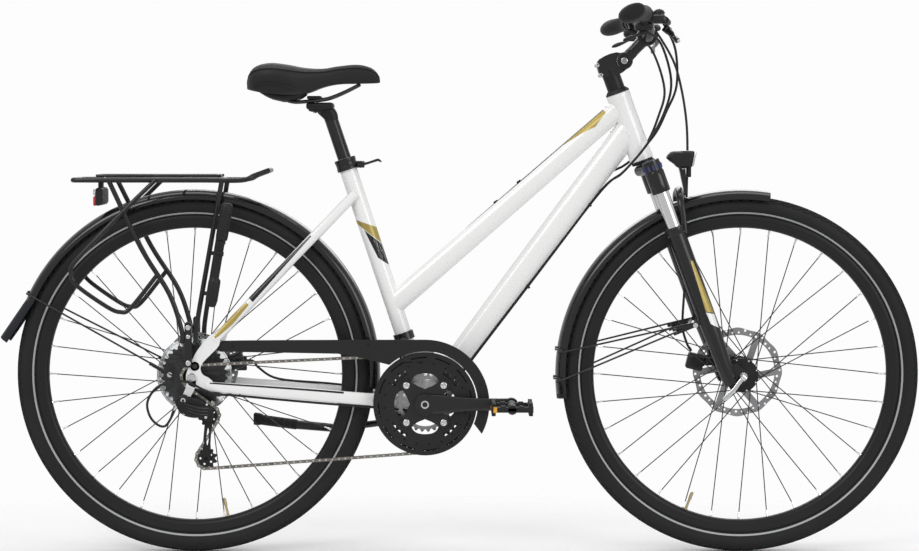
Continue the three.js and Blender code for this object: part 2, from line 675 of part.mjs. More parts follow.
// Kickstand seat: a plate under the chainstays and a block that holds the pivot
const standCentre = fromBracket(-standPlate.behind, 0, -standPlate.drop);
const standPivot = fromBracket(-stand.pivotBehind, stand.pivotY, -stand.pivotDrop);
const standAxis = point(0, -Math.cos(stand.tilt), -Math.sin(stand.tilt));

function makeStandBoss() {
  const root = standPivot.clone().addScaledVector(standAxis, stand.bossLength + runningGap);
  const face = standPivot.clone().addScaledVector(standAxis, runningGap);
  const centre = point(standPivot.x, root.y - stand.blockWidth / 4, standCentre.z - stand.blockHeight / 2);
  return join(
    block(stand.blockLength, stand.blockWidth, stand.blockHeight, centre),
    rod(root, face, stand.bossRadius, round.tube),
  );
}

addPiece(touring, 'main_frame', makeFrame(), whitePaint);

// Bottom bracket: a bearing sleeve in the shell, open for the spindle
function makeBottomBracket() {
  const bore = spindle.radius + runningGap;
  const half = shell.width / 2 + gap;
  const side = [[bore, half + spindle.cupLip], [spindle.cupRadius + spindle.cupLip, half + spindle.cupLip],
    [spindle.cupRadius + spindle.cupLip, half], [spindle.cupRadius, half]];
  return turned([...side, ...side.map(([r, y]) => [r, -y]).reverse()], round.hub);
}

// Cranks and rings turn about the bottom bracket
const drive = group(touring, bottomBracket);

function crankArm(side, reach) {
  const near = side * crank.innerY;
  const far = side * (crank.innerY + crank.thickness);
  const [fromY, toY] = [Math.min(near, far), Math.max(near, far)];
  const middle = (fromY + toY) / 2;
  const arm = member([
    { at: point(0, middle, 0), depth: crank.bossRadius * 1.6, width: crank.thickness },
    { at: point(reach * 0.5, middle, 0), depth: crank.tipRadius * 2, width: crank.thickness },
    { at: point(reach, middle, 0), depth: crank.tipRadius * 1.8, width: crank.thickness },
  ], round.rod);
  const ends = [
    disc(crank.bossRadius, fromY, toY, round.hub),
    moved(disc(crank.tipRadius, fromY, toY, round.tube), point(reach, 0, 0)),
  ];
  return join(arm, ...ends);
}

function postPlaces() {
  return Array.from({ length: rings.bolts }, (_, i) => {
    const angle = (2 * Math.PI * (i + 1 / 2)) / rings.bolts;
    return [Math.cos(angle) * rings.boltCircle / 2, Math.sin(angle) * rings.boltCircle / 2];
  });
}

const discY = chainY - rings.discInset;
const postEndY = discY - rings.discThickness;

function makeCrankRight() {
  const armFace = -crank.innerY - overrun / 2;
  const spiderFace = postEndY - gap;
  const tip = rings.boltCircle / 2 + crank.spiderRadius;
  const half = Math.asin(crank.spiderRadius / tip);
  const star = Array.from({ length: rings.bolts }, (_, i) => (2 * Math.PI * (i + 1 / 2)) / rings.bolts)
    .flatMap((angle) => [[tip, angle - half], [tip, angle + half],
      [crank.bossRadius, angle + Math.PI / rings.bolts]])
    .map(([radius, angle]) => [radius * Math.cos(angle), radius * Math.sin(angle)]);
  return join(crankArm(-1, crank.length), plate(star, armFace, spiderFace));
}

function makeCrankLeft() {
  const end = -crank.innerY + gap + overrun / 2;
  const spindleEnd = Math.max(end, postEndY);
  return join(crankArm(1, -crank.length),
    disc(spindle.radius, spindleEnd, crank.innerY + overrun, round.hub));
}

function makeRings() {
  const bore = rings.boltCircle / 2 - rings.rimDepth;
  const plates = rings.teeth.map((teeth, i) => {
    const fromY = chainY + rings.spacing * i - rings.thickness / 2;
    const toY = fromY + rings.thickness;
    return i === 0 ? toothed(teeth, fromY, toY, bore)
      : plate(ringPoints(pitchRadius(teeth), round.ring), fromY, toY, [ringPoints(bore, round.hub)]);
  });
  const windows = postPlaces().map(([x, z], i) => {
    const from = (2 * Math.PI * (i + 1 / 2)) / rings.bolts + radians(20);
    const to = from + (2 * Math.PI) / rings.bolts - radians(40);
    const inner = rings.boltCircle / 2 + rings.postRadius;
    const arc = [0, 1 / 2, 1].map((share) => from + (to - from) * share);
    return [...arc.map((a) => [inner * Math.cos(a), inner * Math.sin(a)]),
      ...arc.reverse().map((a) => [rings.discInner * Math.cos(a), rings.discInner * Math.sin(a)])];
  });
  const guard = plate(ringPoints(rings.discRadius, round.wheel), discY - rings.discThickness, discY,
    [ringPoints(bore, round.hub), ...windows]);
  const backY = chainY + rings.spacing * (rings.teeth.length - 1);
  const posts = postPlaces().map(([x, z]) =>
    moved(disc(rings.postRadius, postEndY, backY, round.wire), point(x, 0, z)));
  return join(...plates, guard, ...posts);
}

addPiece(drive, 'bottom_bracket', makeBottomBracket(), steel);
addPiece(drive, 'crank_right', makeCrankRight(), blackPaint);
addPiece(drive, 'crank_left', makeCrankLeft(), blackPaint);
addPiece(drive, 'chainrings', makeRings(), blackPaint);

// Pedal: a barrel on the pedal axle with two grip bars and end plates
function makePedal(side) {
  const outer = side * (crank.innerY + crank.thickness + gap);
  const middle = side * pedal.y;
  const inner = middle - side * pedal.width / 2;
  const end = middle + side * pedal.width / 2;
  const barX = (pedal.length - pedal.barThickness) / 2;
  const bars = [1, -1].map((x) =>
    block(pedal.barThickness, pedal.width, pedal.height, point(x * barX, middle, 0)));
  const plates = [inner + side * pedal.railWidth / 2, end - side * pedal.railWidth / 2].map((y) =>
    block(pedal.length - pedal.barThickness, pedal.railWidth, pedal.bodyRadius, point(0, y, 0)));
  return join(
    rod(point(0, outer, 0), point(0, end - side * pedal.railWidth / 2, 0), pedal.axleRadius, round.rod),
    rod(point(0, inner, 0), point(0, end, 0), pedal.bodyRadius, round.rod), ...bars, ...plates,
  );
}

addPiece(group(drive, point(crank.length, 0, 0)), 'pedal_right', makePedal(-1), blackPlastic);
addPiece(group(drive, point(-crank.length, 0, 0)), 'pedal_left', makePedal(1), blackPlastic);

// Chain path round the wheels [x, z, radius]; a negative radius is passed on the other side
const upperPulley = fromRear(pulley.upper[0], chainY, pulley.upper[1]);
const lowerPulley = fromRear(pulley.lower[0], chainY, pulley.lower[1]);

function chainWheels(offset) {
  return [
    { at: bottomBracket, radius: pitchRadius(rings.teeth[0]) + offset, steps: 11 },
    { at: rearAxle, radius: pitchRadius(cassette.teeth[0]) + offset, steps: 6 },
    { at: upperPulley, radius: -pitchRadius(pulley.teeth) + offset, steps: 4 },
    { at: lowerPulley, radius: pitchRadius(pulley.teeth) + offset, steps: 6 },
  ];
}

// Normal angle of the straight run between two wheels
function runNormal(from, to) {
  const [dx, dz] = [to.at.x - from.at.x, to.at.z - from.at.z];
  return Math.atan2(dz, dx) + Math.acos((to.radius - from.radius) / Math.hypot(dx, dz));
}

function touch({ at, radius }, normal) {
  return [at.x - radius * Math.cos(normal), at.z - radius * Math.sin(normal)];
}

function chainOutline(offset) {
  const wheels = chainWheels(offset);
  const normals = wheels.map((wheel, i) => runNormal(wheel, wheels[(i + 1) % wheels.length]));
  return wheels.flatMap((wheel, i) => {
    const arriving = normals[(i + wheels.length - 1) % wheels.length];
    const turn = wheel.radius > 0 ? 1 : -1;
    const full = 2 * Math.PI;
    const sweep = turn * ((((normals[i] - arriving) * turn) % full + full) % full);
    return Array.from({ length: wheel.steps + 1 }, (_, step) =>
      touch(wheel, arriving + (sweep * step) / wheel.steps));
  });
}

function makeChain() {
  const half = chain.plateHeight / 2;
  const plates = [1, -1].map((side) => {
    const near = chainY + side * chain.innerWidth / 2;
    const far = near + side * chain.plateThickness;
    return plate(chainOutline(half), Math.min(near, far), Math.max(near, far), [chainOutline(-half)]);
  });
  const wheels = chainWheels(0);
  const webs = wheels.map((wheel, i) => {
    const next = wheels[(i + 1) % wheels.length];
    const normal = runNormal(wheel, next);
    const [fromX, fromZ] = touch(wheel, normal);
    const [toX, toZ] = touch(next, normal);
    const [from, to] = [point(fromX, chainY, fromZ), point(toX, chainY, toZ)];
    const run = to.clone().sub(from);
    const clear = ({ radius }) => {
      const size = Math.abs(radius);
      return Math.sqrt((size + toothDepth) ** 2 - (size - chain.webHeight / 2) ** 2) / run.length();
    };
    const [near, far] = [from.clone().lerp(to, clear(wheel)), to.clone().lerp(from, clear(next))];
    const web = block(near.distanceTo(far), chain.innerWidth + gap, chain.webHeight / 2, point(0, 0, 0));
    return moved(web.rotateY(-Math.atan2(run.z, run.x)), near.lerp(far, 1 / 2));
  });
  return join(...plates, ...webs);
}

addPiece(touring, 'chain', makeChain(), steel);

// Everything that turns with the steering is built with the steering axis upright.
const steering = group(touring, headBottom);
steering.rotation.y = -headTube.lean;

const sides = [1, -1];
const legTop = (side, down) => point(fork.legAhead, side * fork.legY, -down);

function makeForkUpper() {
  const crownTop = -gap - fork.raceHeight;
  const crownEnd = crownTop - fork.crownHeight;
  const crownZ = (crownTop + crownEnd) / 2;
  const crown = crossMember([-1, 0, 1].map((side) => ({
    at: point(side ? fork.legAhead : 0, side * fork.legY, crownZ), length: fork.crownDepth,
      height: fork.crownHeight,
  })));
  const legs = sides.flatMap((side) => [
    rod(legTop(side, fork.sleeveEnd), legTop(side, -crownTop), fork.sleeveRadius, round.hub),
    rod(legTop(side, fork.stanchionEnd), legTop(side, -crownTop + overrun), fork.stanchionRadius,
      round.hub),
  ]);
  return join(
    rod(point(0, 0, crownEnd), point(0, 0, headTube.length - gap), fork.steererRadius, round.hub),
    rod(point(0, 0, crownTop - overrun), point(0, 0, -gap), fork.raceRadius, round.hub), crown, ...legs,
  );
}

function forkTipOutline() {
  const shares = [[-0.6, 2.6], [1, 2.6], [2.7, 1.1], [3, 0], [2.4, -1], [1.4, -1.1], [-0.6, -0.4]];
  return shares.map(([x, z]) => [fork.legAhead + (x - 0.3) * fork.tipRadius,
    z * fork.tipRadius - fork.length]);
}

function makeForkLowers() {
  const reach = fork.lowerEnd - fork.footHeight;
  const inner = frontHub.spacing / 2;
  const legs = sides.flatMap((side) => {
    const [near, far] = [side * inner, side * (inner + fork.tipThickness)];
    const stations = [
      [fork.lowerTop, fork.collarRadius], [fork.lowerTop + fork.collarHeight, fork.collarRadius],
      [fork.lowerTop + fork.collarHeight + gap, fork.lowerRadius], [reach, fork.lowerRadius],
      [fork.lowerEnd, fork.footRadius],
    ];
    return [
      member(stations.map(([down, radius]) => ({ at: legTop(side, down), depth: radius * 2,
        width: radius * 2 }))),
      plate(forkTipOutline(), Math.min(near, far), Math.max(near, far)),
    ];
  });
  const shoulder = (side) => point((fork.legAhead + fork.archAhead) / 2, side * fork.legY * 0.95,
    -fork.lowerTop - fork.archWidth);
  const knee = (side) => point(fork.archAhead, side * fork.archShoulderY, -fork.archTop - fork.archDepth);
  const arch = crossMember([
    shoulder(1), knee(1), point(fork.archAhead + fork.archDepth / 2, 0, -fork.archTop), knee(-1),
      shoulder(-1),
  ].map((at) => ({ at, length: fork.archDepth, height: fork.archWidth })), round.tube);
  return { legs, arch };
}

// The arch carries a small pad that the front fender is screwed to.
function finishForkLowers() {
  const { legs, arch } = makeForkLowers();
  const ahead = fork.archAhead + fork.archDepth / 2;
  const padEnd = -fork.length + Math.sqrt(fenderRadius ** 2 - (ahead - fork.rake) ** 2) + gap * 2;
  const pad = rod(point(ahead, 0, padEnd), point(ahead, 0, -fork.archTop), fork.archDepth / 2, round.rod);
  const bores = sides.map((side) => rod(legTop(side, fork.boreEnd), legTop(side, fork.lowerTop - overrun),
    fork.stanchionRadius + fork.boreGap, round.hub));
  const axleHole = moved(disc(axleRadius + runningGap, -frameTaper.reachY, frameTaper.reachY, round.tube),
    point(fork.rake, 0, -fork.length));
  return cut(join(...legs, arch, pad), ...bores, axleHole);
}

addPiece(steering, 'fork_upper', makeForkUpper(), blackPaint);
addPiece(steering, 'fork_lowers', finishForkLowers(), blackPaint);

// Stem: a tube with a tongue at its pivot, and an arm whose cheeks hold the tongue
const topOfHead = (x, z) => point(x, 0, headTube.length + z);

function makeStemBase() {
  const cap = rod(topOfHead(0, gap), topOfHead(0, gap + headCap.height), headCap.radius, round.hub,
    headCap.neckRadius);
  const tube = rod(topOfHead(0, headCap.height), topOfHead(0, stem.pivotUp), stem.tubeRadius, round.hub);
  const bodyShares = [
    [-0.5, 0.7], [-0.66, 0.85], [-0.6, 1.22], [-0.4, 1.34], [0.35, 1.4], [1, 1.3], [1.3, 1], [1, 0.7],
    [0.4, 0.62],
  ];
  const outline = bodyShares.map(([x, z]) => [x * stem.pivotAhead, headTube.length + z * stem.pivotUp]);
  const body = plate(outline, -stem.bodyWidth / 2, stem.bodyWidth / 2);
  const pivotAt = topOfHead(stem.pivotAhead, stem.pivotUp);
  const cheekSpace = moved(join(
    disc(stem.pivotRadius + runningGap, -stem.bodyWidth, -stem.tongueWidth / 2, round.hub),
  ), pivotAt);
  const otherSpace = mirrored(cheekSpace);
  const tongue = moved(disc(stem.pivotRadius - gap, -stem.tongueWidth / 2, stem.tongueWidth / 2, round.hub),
    pivotAt);
  const pin = moved(disc(stem.hingeRadius, -stem.boltReach, stem.boltReach, round.tube), pivotAt);
  const ears = [stem.lowerEar, stem.upperEar].map((up) =>
    moved(disc(stem.earRadius, -stem.bodyWidth / 2 + gap, stem.bodyWidth / 2 - gap, round.tube),
      topOfHead(-stem.earBack, up)));
  return join(cut(join(cap, tube, body, ...ears), cheekSpace, otherSpace), tongue, pin);
}

addPiece(steering, 'stem_base', makeStemBase(), blackPaint);

// The stem's arm, handlebar, grips and controls turn about the stem's pivot.
const cockpit = group(touring, pivot);
const barCentre = point(stem.clampAhead, 0, stem.clampUp);

function makeStemArm() {
  const body = member([
    { at: point(0, 0, 0), depth: stem.armDepth, width: stem.armWidth },
    { at: barCentre, depth: stem.armDepth, width: stem.armWidth },
  ]);
  const half = stem.armWidth / 2;
  const solid = join(body, disc(stem.pivotRadius, -half, half, round.hub),
    moved(disc(stem.clampRadius, -stem.clampWidth / 2, stem.clampWidth / 2, round.hub), barCentre));
  const slotHalf = stem.tongueWidth / 2 + gap;
  const backBox = block(stem.pivotRadius * 2, slotHalf * 2, stem.pivotRadius * 4,
    point(-stem.pivotRadius + overrun, 0, -stem.pivotRadius / 2));
  return cut(solid, disc(stem.pivotRadius + runningGap, -slotHalf, slotHalf, round.hub), backBox,
    disc(stem.hingeRadius + runningGap, -half - overrun, half + overrun, round.tube),
    moved(disc(bar.radius + gap, -stem.clampWidth, stem.clampWidth, round.hub), barCentre));
}

const barPoint = (side, y, back, rise) => barCentre.clone().add(point(-back, side * y, rise));
const barBend = (side) => barPoint(side, bar.bendY, bar.bendBack, bar.bendRise);
const barEnd = (side) => barPoint(side, bar.halfWidth, bar.back, bar.rise);
// A place on the straight outer part of the bar
const onBar = (side, y) => barBend(side).lerp(barEnd(side), (y - bar.bendY) / (bar.halfWidth - bar.bendY));

// Shares of the bend's place, from the straight outer part down to the clamp
const barBendShares = [[1, 1, 1], [0.85, 0.78, 0.92], [0.67, 0.34, 0.6], [0.49, 0.06, 0.24],
  [0.36, 0, 0.05]];

function barTube(radius, extra = 0) {
  const half = (side) => [
    onBar(side, bar.halfWidth + extra),
    ...barBendShares.map(([y, back, rise]) => barPoint(side, bar.bendY * y, bar.bendBack * back,
      bar.bendRise * rise)),
    barPoint(side, bar.clampHalf, 0, 0),
  ];
  return wire([...half(1), ...half(-1).reverse()], radius, round.tube);
}

function makeHandlebar() {
  const clamp = rod(barPoint(1, bar.clampHalf, 0, 0), barPoint(-1, bar.clampHalf, 0, 0), bar.radius,
    round.hub);
  return join(barTube(bar.endRadius), clamp);
}

// What is clamped on the bar is bored by a slightly wider and longer copy of it.
const barBore = barTube(bar.endRadius + gap, gap);

// Grip: a round sleeve with a wing under the heel of the hand
function makeGrip(side) {
  const end = bar.halfWidth + grip.cap;
  const sleeve = rod(onBar(side, grip.from), onBar(side, end), grip.radius, round.tube);
  const half = (end - grip.wingFrom) / 2;
  const wingEdge = (y, back, down) => onBar(side, y).add(point(-back, 0, -down));
  const wing = crossMember([
    { at: wingEdge(grip.wingFrom - half * 0.9, 0, 0), height: grip.wingThickness,
      length: grip.wingThickness },
    { at: wingEdge(grip.wingFrom + half * 0.4, grip.wingReach * 0.42, grip.wingDrop * 0.4),
      height: grip.wingThickness * 1.5, length: grip.wingReach },
    { at: wingEdge(end - half * 0.5, grip.wingReach * 0.55, grip.wingDrop * 0.6),
      height: grip.wingThickness * 1.5, length: grip.wingReach * 1.35 },
    { at: wingEdge(end - grip.cap / 2, grip.wingReach * 0.5, grip.wingDrop * 0.5),
      height: grip.wingThickness, length: grip.wingReach * 1.1 },
  ], round.tube);
  return cut(join(sleeve, wing), barBore);
}

// Control: the brake's clamp and cylinder ahead of the bar with the shifter pod below
function makeControl(side) {
  const clamp = rod(onBar(side, control.from), onBar(side, control.to), control.radius, round.hub);
  const middleY = (control.from + control.to) / 2;
  const at = (x, z) => onBar(side, middleY).add(point(x, 0, z));
  const cylinder = block(control.bodyLength, control.bodyWidth, control.bodyHeight,
    at(control.bodyAhead - control.bodyLength / 4, -control.bodyDrop / 2));
  const pod = block(control.podLength, control.podWidth, control.podHeight,
    at(-control.podBack, -control.podDrop + gap));
  return cut(join(clamp, cylinder, pod), barBore);
}

function leverPivot(side) {
  const middleY = (control.from + control.to) / 2;
  return onBar(side, middleY).add(point(brakeLever.pivotAhead, 0, -brakeLever.pivotDrop));
}

// The lever is pulled straight towards the grip.
const leverPull = point(-brakeLever.tipAhead, 0, brakeLever.tipDrop).normalize();
const leverAxis = across.clone().cross(leverPull);

function makeBrakeLever(side) {
  const eye = leverPivot(side);
  const tip = onBar(side, brakeLever.tipY).add(point(brakeLever.tipAhead, 0, -brakeLever.tipDrop));
  const knee = eye.clone().lerp(tip, 0.35).addScaledVector(leverPull, -brakeLever.thickness);
  const blade = bentTube([eye, knee, eye.clone().lerp(tip, 0.7), tip], brakeLever.thickness / 2, round.rod,
    8);
  const hub = rod(eye.clone().addScaledVector(leverAxis, -brakeLever.width / 2),
    eye.clone().addScaledVector(leverAxis, brakeLever.width / 2), brakeLever.eye, round.tube);
  return join(blade, hub);
}

function makeShiftLever(side) {
  const middleY = (control.from + control.to) / 2;
  const top = onBar(side, middleY).add(point(-shiftLever.pivotBack, 0, -shiftLever.pivotDrop));
  const low = top.clone().add(point(0, 0, -shiftLever.thickness));
  const paddleEnd = low.clone().add(point(-shiftLever.length, side * shiftLever.width, -shiftLever.drop));
  const paddle = member([
    { at: low, depth: shiftLever.thickness, width: shiftLever.width },
    { at: paddleEnd, depth: shiftLever.thickness, width: shiftLever.width },
  ], round.rod);
  return join(rod(top, low.clone().add(point(0, 0, -shiftLever.thickness)), shiftLever.hub, round.tube),
    paddle);
}

addPiece(cockpit, 'stem_arm', makeStemArm(), blackPaint);
addPiece(cockpit, 'handlebar', makeHandlebar(), blackPaint);
for (const side of sides) {
  const hand = side > 0 ? 'left' : 'right';
  addPiece(cockpit, `grip_${hand}`, makeGrip(side), blackRubber);
  addPiece(cockpit, `control_${hand}`, makeControl(side), blackPlastic);
  addPiece(cockpit, `brake_lever_${hand}`, makeBrakeLever(side), blackPaint);
  addPiece(cockpit, `shift_lever_${hand}`, makeShiftLever(side), blackPlastic);
}

// Fenders: the curved section is carried round the wheel, then out along a flap.
function fenderSection() {
  const half = fender.width / 2;
  const edge = fenderRadius - fender.depth;
  const shoulder = fenderRadius - fender.depth * 0.3;
  const outer = [[-half, edge], [-half * 0.8, shoulder], [0, fenderRadius], [half * 0.8, shoulder],
    [half, edge]];
  const inner = [
    [half - fender.thickness, edge], [half * 0.66, shoulder - fender.thickness],
    [-half * 0.66, shoulder - fender.thickness], [-half + fender.thickness, edge],
  ];
  return [...outer, ...inner].map(([y, r]) => [y, r - fenderRadius]);
}

function makeFender({ from, to, flapLength, flapLean = 0 }, steps) {
  const places = Array.from({ length: steps + 1 }, (_, i) => {
    const angle = from + ((to - from) * i) / steps;
    const outward = point(Math.cos(angle), 0, Math.sin(angle));
    return { origin: outward.clone().multiplyScalar(fenderRadius), first: across, second: outward };
  });
  const last = places[places.length - 1];
  const outward = point(Math.cos(to + flapLean), 0, Math.sin(to + flapLean));
  const along = point(-outward.z, 0, outward.x);
  places.push({ ...last, second: outward, origin: last.origin.clone().addScaledVector(along, flapLength) });
  return swept(fenderSection(), places);
}

const frontWheelPlace = group(touring, frontAxle);
const rearWheelPlace = group(touring, rearAxle);
addPiece(frontWheelPlace, 'front_fender', makeFender(frontFender, 12), blackPlastic);
addPiece(rearWheelPlace, 'rear_fender', makeFender(rearFender, 17), blackPlastic);

// Fender stay: a wire from one frame eye round the outside of the fender to the other eye
function stayWire(eye, angle, edgeRadius) {
  const radial = point(Math.cos(angle), 0, Math.sin(angle));
  const clear = stay.radius + gap;
  const onFender = (y, radius) => radial.clone().multiplyScalar(radius).add(point(0, y, 0));
  const half = fender.width / 2;
  const top = fenderRadius + clear * 1.3;
  const shoulder = fenderRadius - fender.depth * 0.3 + clear;
  const right = [
    point(eye.x, -eye.y, eye.z), onFender(-half - clear, edgeRadius),
    onFender(-half * 0.86 - clear, shoulder),
    onFender(0, top),
  ];
  const left = right.slice(0, -1).map((place) => point(place.x, -place.y, place.z)).reverse();
  return wire([...right, ...left], stay.radius, round.wire);
}

function stayClip(eye, side) {
  return moved(disc(stay.clipRadius, 0, stay.clipLength / 2, round.rod),
    point(eye.x, side * eye.y - (side > 0 ? stay.clipLength / 4 : stay.clipLength / 4), eye.z));
}

function makeStays(eye, angles, edgeRadius) {
  const wires = angles.map((angle) => stayWire(eye, angle, edgeRadius));
  return join(...wires, stayClip(eye, 1), stayClip(eye, -1));
}

const stayEdge = fenderRadius - fender.depth * 0.8;
addPiece(frontWheelPlace, 'front_fender_stays',
  makeStays(point(frontStays.eyeX, fork.legY, frontStays.eyeZ), frontStays.angles, stayEdge), blackPaint);
addPiece(rearWheelPlace, 'rear_fender_stays',
  makeStays(point(rearStays.eyeX, rearStays.eyeY, rearStays.eyeZ), rearStays.angles, stayEdge), blackPaint);

// Seat: post, saddle and rails are built along the seat tube's own lean.
const postTop = seatTop.clone().addScaledVector(seatUp, seatpost.rise);
const saddleTail = postTop.x - saddle.tailBack;
const saddleBase = postTop.z + saddle.lift;

function saddleAt([x, , top, bottom]) {
  return { x: saddleTail + x * saddle.length, top: saddleBase + top * saddle.height,
    bottom: saddleBase + bottom * saddle.height };
}

// Station shares: along the length, of the half width, and the top and bottom of the height
const saddleShares = [
  [0, 0.5, 0.3, 0.12], [0.04, 0.78, 0.58, 0.1], [0.1, 0.92, 0.85, 0.08], [0.2, 1, 1, 0.06],
  [0.32, 0.96, 0.96, 0.02], [0.44, 0.78, 0.87, 0.06], [0.55, 0.52, 0.86, 0.24], [0.66, 0.37, 0.9, 0.35],
  [0.84, 0.28, 0.98, 0.38], [0.94, 0.24, 0.86, 0.37], [1, 0.13, 0.5, 0.4],
];
// Half section shares: out from the middle and up from the bottom, with a hollow crown
const saddleSection = [[0.86, 0], [0.9, 0.3], [1, 0.6], [0.86, 0.86], [0.45, 1], [0.12, 0.97]];

function makeSaddle() {
  const half = saddleSection;
  const outline = [...half, ...half.map(([y, z]) => [-y, z]).reverse()];
  const places = saddleShares.map((share) => {
    const { x, top, bottom } = saddleAt(share);
    const wide = (share[1] * saddle.rearWidth) / 2;
    return { origin: point(x, 0, bottom), first: across, second: point(0, 0, 1), wide, tall: top - bottom };
  });
  return swept(outline, places);
}

// Rail points: shares along the saddle, height above the saddle's base, and sideways place
function railPoints(side) {
  const ends = saddleShares[8];
  const noseZ = saddleAt(ends).bottom - rail.radius - gap * 2;
  return [
    point(saddleTail + saddle.length * 0.2, side * rail.y, saddleBase - rail.radius + gap),
    point(saddleTail + saddle.length * 0.27, side * rail.y, saddleBase - rail.dip * 0.6),
    point(saddleTail + saddle.length * 0.34, side * rail.y, saddleBase - rail.dip),
    point(saddleTail + saddle.length * 0.6, side * rail.y, saddleBase - rail.dip * 0.55),
    point(saddleTail + saddle.length * 0.72, side * (rail.y + rail.noseY) / 2,
      saddleBase + rail.rise * 0.5),
    point(saddleTail + saddle.length * 0.84, side * rail.noseY, noseZ),
  ];
}

function makeRails(radius) {
  const rails = sides.map((side) => wire(railPoints(side), radius));
  const bars = [0, railPoints(1).length - 1].map((i) => {
    const reach = point(0, radius / 2, 0);
    return rod(railPoints(1)[i].add(reach), railPoints(-1)[i].sub(reach), radius);
  });
  return join(...rails, ...bars);
}

function makeSeatpost() {
  const low = seatTop.clone().addScaledVector(seatUp, -seatpost.insert);
  const post = rod(low, postTop, seatpost.radius, round.frame);
  const railZ = saddleBase - rail.dip;
  const centre = postTop.clone().add(point(-seatpost.headBack, 0, 0));
  const lowerTop = railZ + rail.radius / 2;
  const lower = block(seatpost.headLength, seatpost.headWidth, seatpost.headHeight,
    point(centre.x, 0, lowerTop - seatpost.headHeight / 2));
  const upper = block(seatpost.headLength * 0.5, seatpost.headWidth, rail.radius * 2,
    point(centre.x - seatpost.headLength * 0.2, 0, lowerTop + rail.radius * 2));
  const bolt = rod(point(upperX(centre), 0, lowerTop - seatpost.headHeight - overrun),
    point(upperX(centre), 0, lowerTop + rail.radius * 2), seatpost.boltRadius, round.rod);
  return cut(join(post, lower, upper, bolt), makeRails(rail.radius + gap));
}

function upperX(centre) {
  return centre.x - seatpost.headLength * 0.2;
}

addPiece(touring, 'seatpost', makeSeatpost(), blackPaint);
addPiece(touring, 'saddle', makeSaddle(), leather);
addPiece(touring, 'saddle_rails', makeRails(rail.radius), steel);

// Seat collar with its two ears, and the quick-release lever beside them
function makeCollar() {
  const low = seatTop.clone().addScaledVector(seatUp, -seatCollar.height);
  const high = seatTop.clone().addScaledVector(seatUp, -gap);
  const ring = rod(low, high, seatCollar.radius, round.frame);
  const ear = block(seatCollar.earLength, seatCollar.earWidth, seatCollar.height * 0.6,
    earCentre());
  const inside = rod(low.clone().addScaledVector(seatUp, -overrun),
    high.clone().addScaledVector(seatUp, overrun),
    seatTube.flareRadius + gap, round.frame);
  return cut(join(ring, ear), inside);
}

function earCentre() {
  const middle = seatTop.clone().addScaledVector(seatUp, -seatCollar.height / 2);
  return middle.add(point(seatCollar.radius + seatCollar.earLength * 0.35, 0, 0));
}

function makeSeatLever() {
  const root = earCentre().add(point(0, -seatCollar.earWidth / 2 - seatLever.width / 2 - gap, 0));
  const tip = root.clone().add(point(seatLever.length * 0.8, 0, seatLever.length * 0.2));
  const end = tip.clone().add(point(seatLever.thickness, 0, -seatLever.thickness));
  return join(
    rod(root.clone().add(point(0, seatLever.width / 2, 0)),
      root.clone().add(point(0, -seatLever.width / 2, 0)),
      seatLever.thickness, round.tube),
    member([root, root.clone().lerp(tip, 0.6), tip, end].map((at) =>
      ({ at, depth: seatLever.thickness, width: seatLever.width })), round.rod),
  );
}

addPiece(touring, 'seat_collar', makeCollar(), blackPaint);
addPiece(touring, 'seat_lever', makeSeatLever(), blackPaint);

// Carrier: a tube frame over the rear wheel on two pairs of legs
function carrierPath(side, shares, height) {
  return shares.map(([x, y, z]) => point(
    carrier.rearX + x * (carrier.frontX - carrier.rearX),
    side * (carrier.railY + y * (carrier.legY - carrier.railY)),
    carrier.footTopZ + z * height,
  ));
}

const rearLegShares = [[0.21, 0, 1], [0.4, 0.75, 0.52], [0.56, 1, 0.2], [0.63, 1, -0.06], [0.63, 1, -0.15]];
const frontLegShares = [[0.86, 0, 1], [0.79, 0.6, 0.5], [0.72, 1, 0], [0.71, 1, -0.15]];
const loopShares = [
  [0.48, 0.3, 1], [0.33, 0.6, 0.82], [0.18, 0.9, 0.63], [0.02, 1.1, 0.42], [0, 1.1, 0.34],
  [0.03, 1.1, 0.26],
  [0.2, 1, 0.11], [0.28, 1, 0.07], [0.34, 1, 0.1], [0.49, 0.9, 0.33],
];

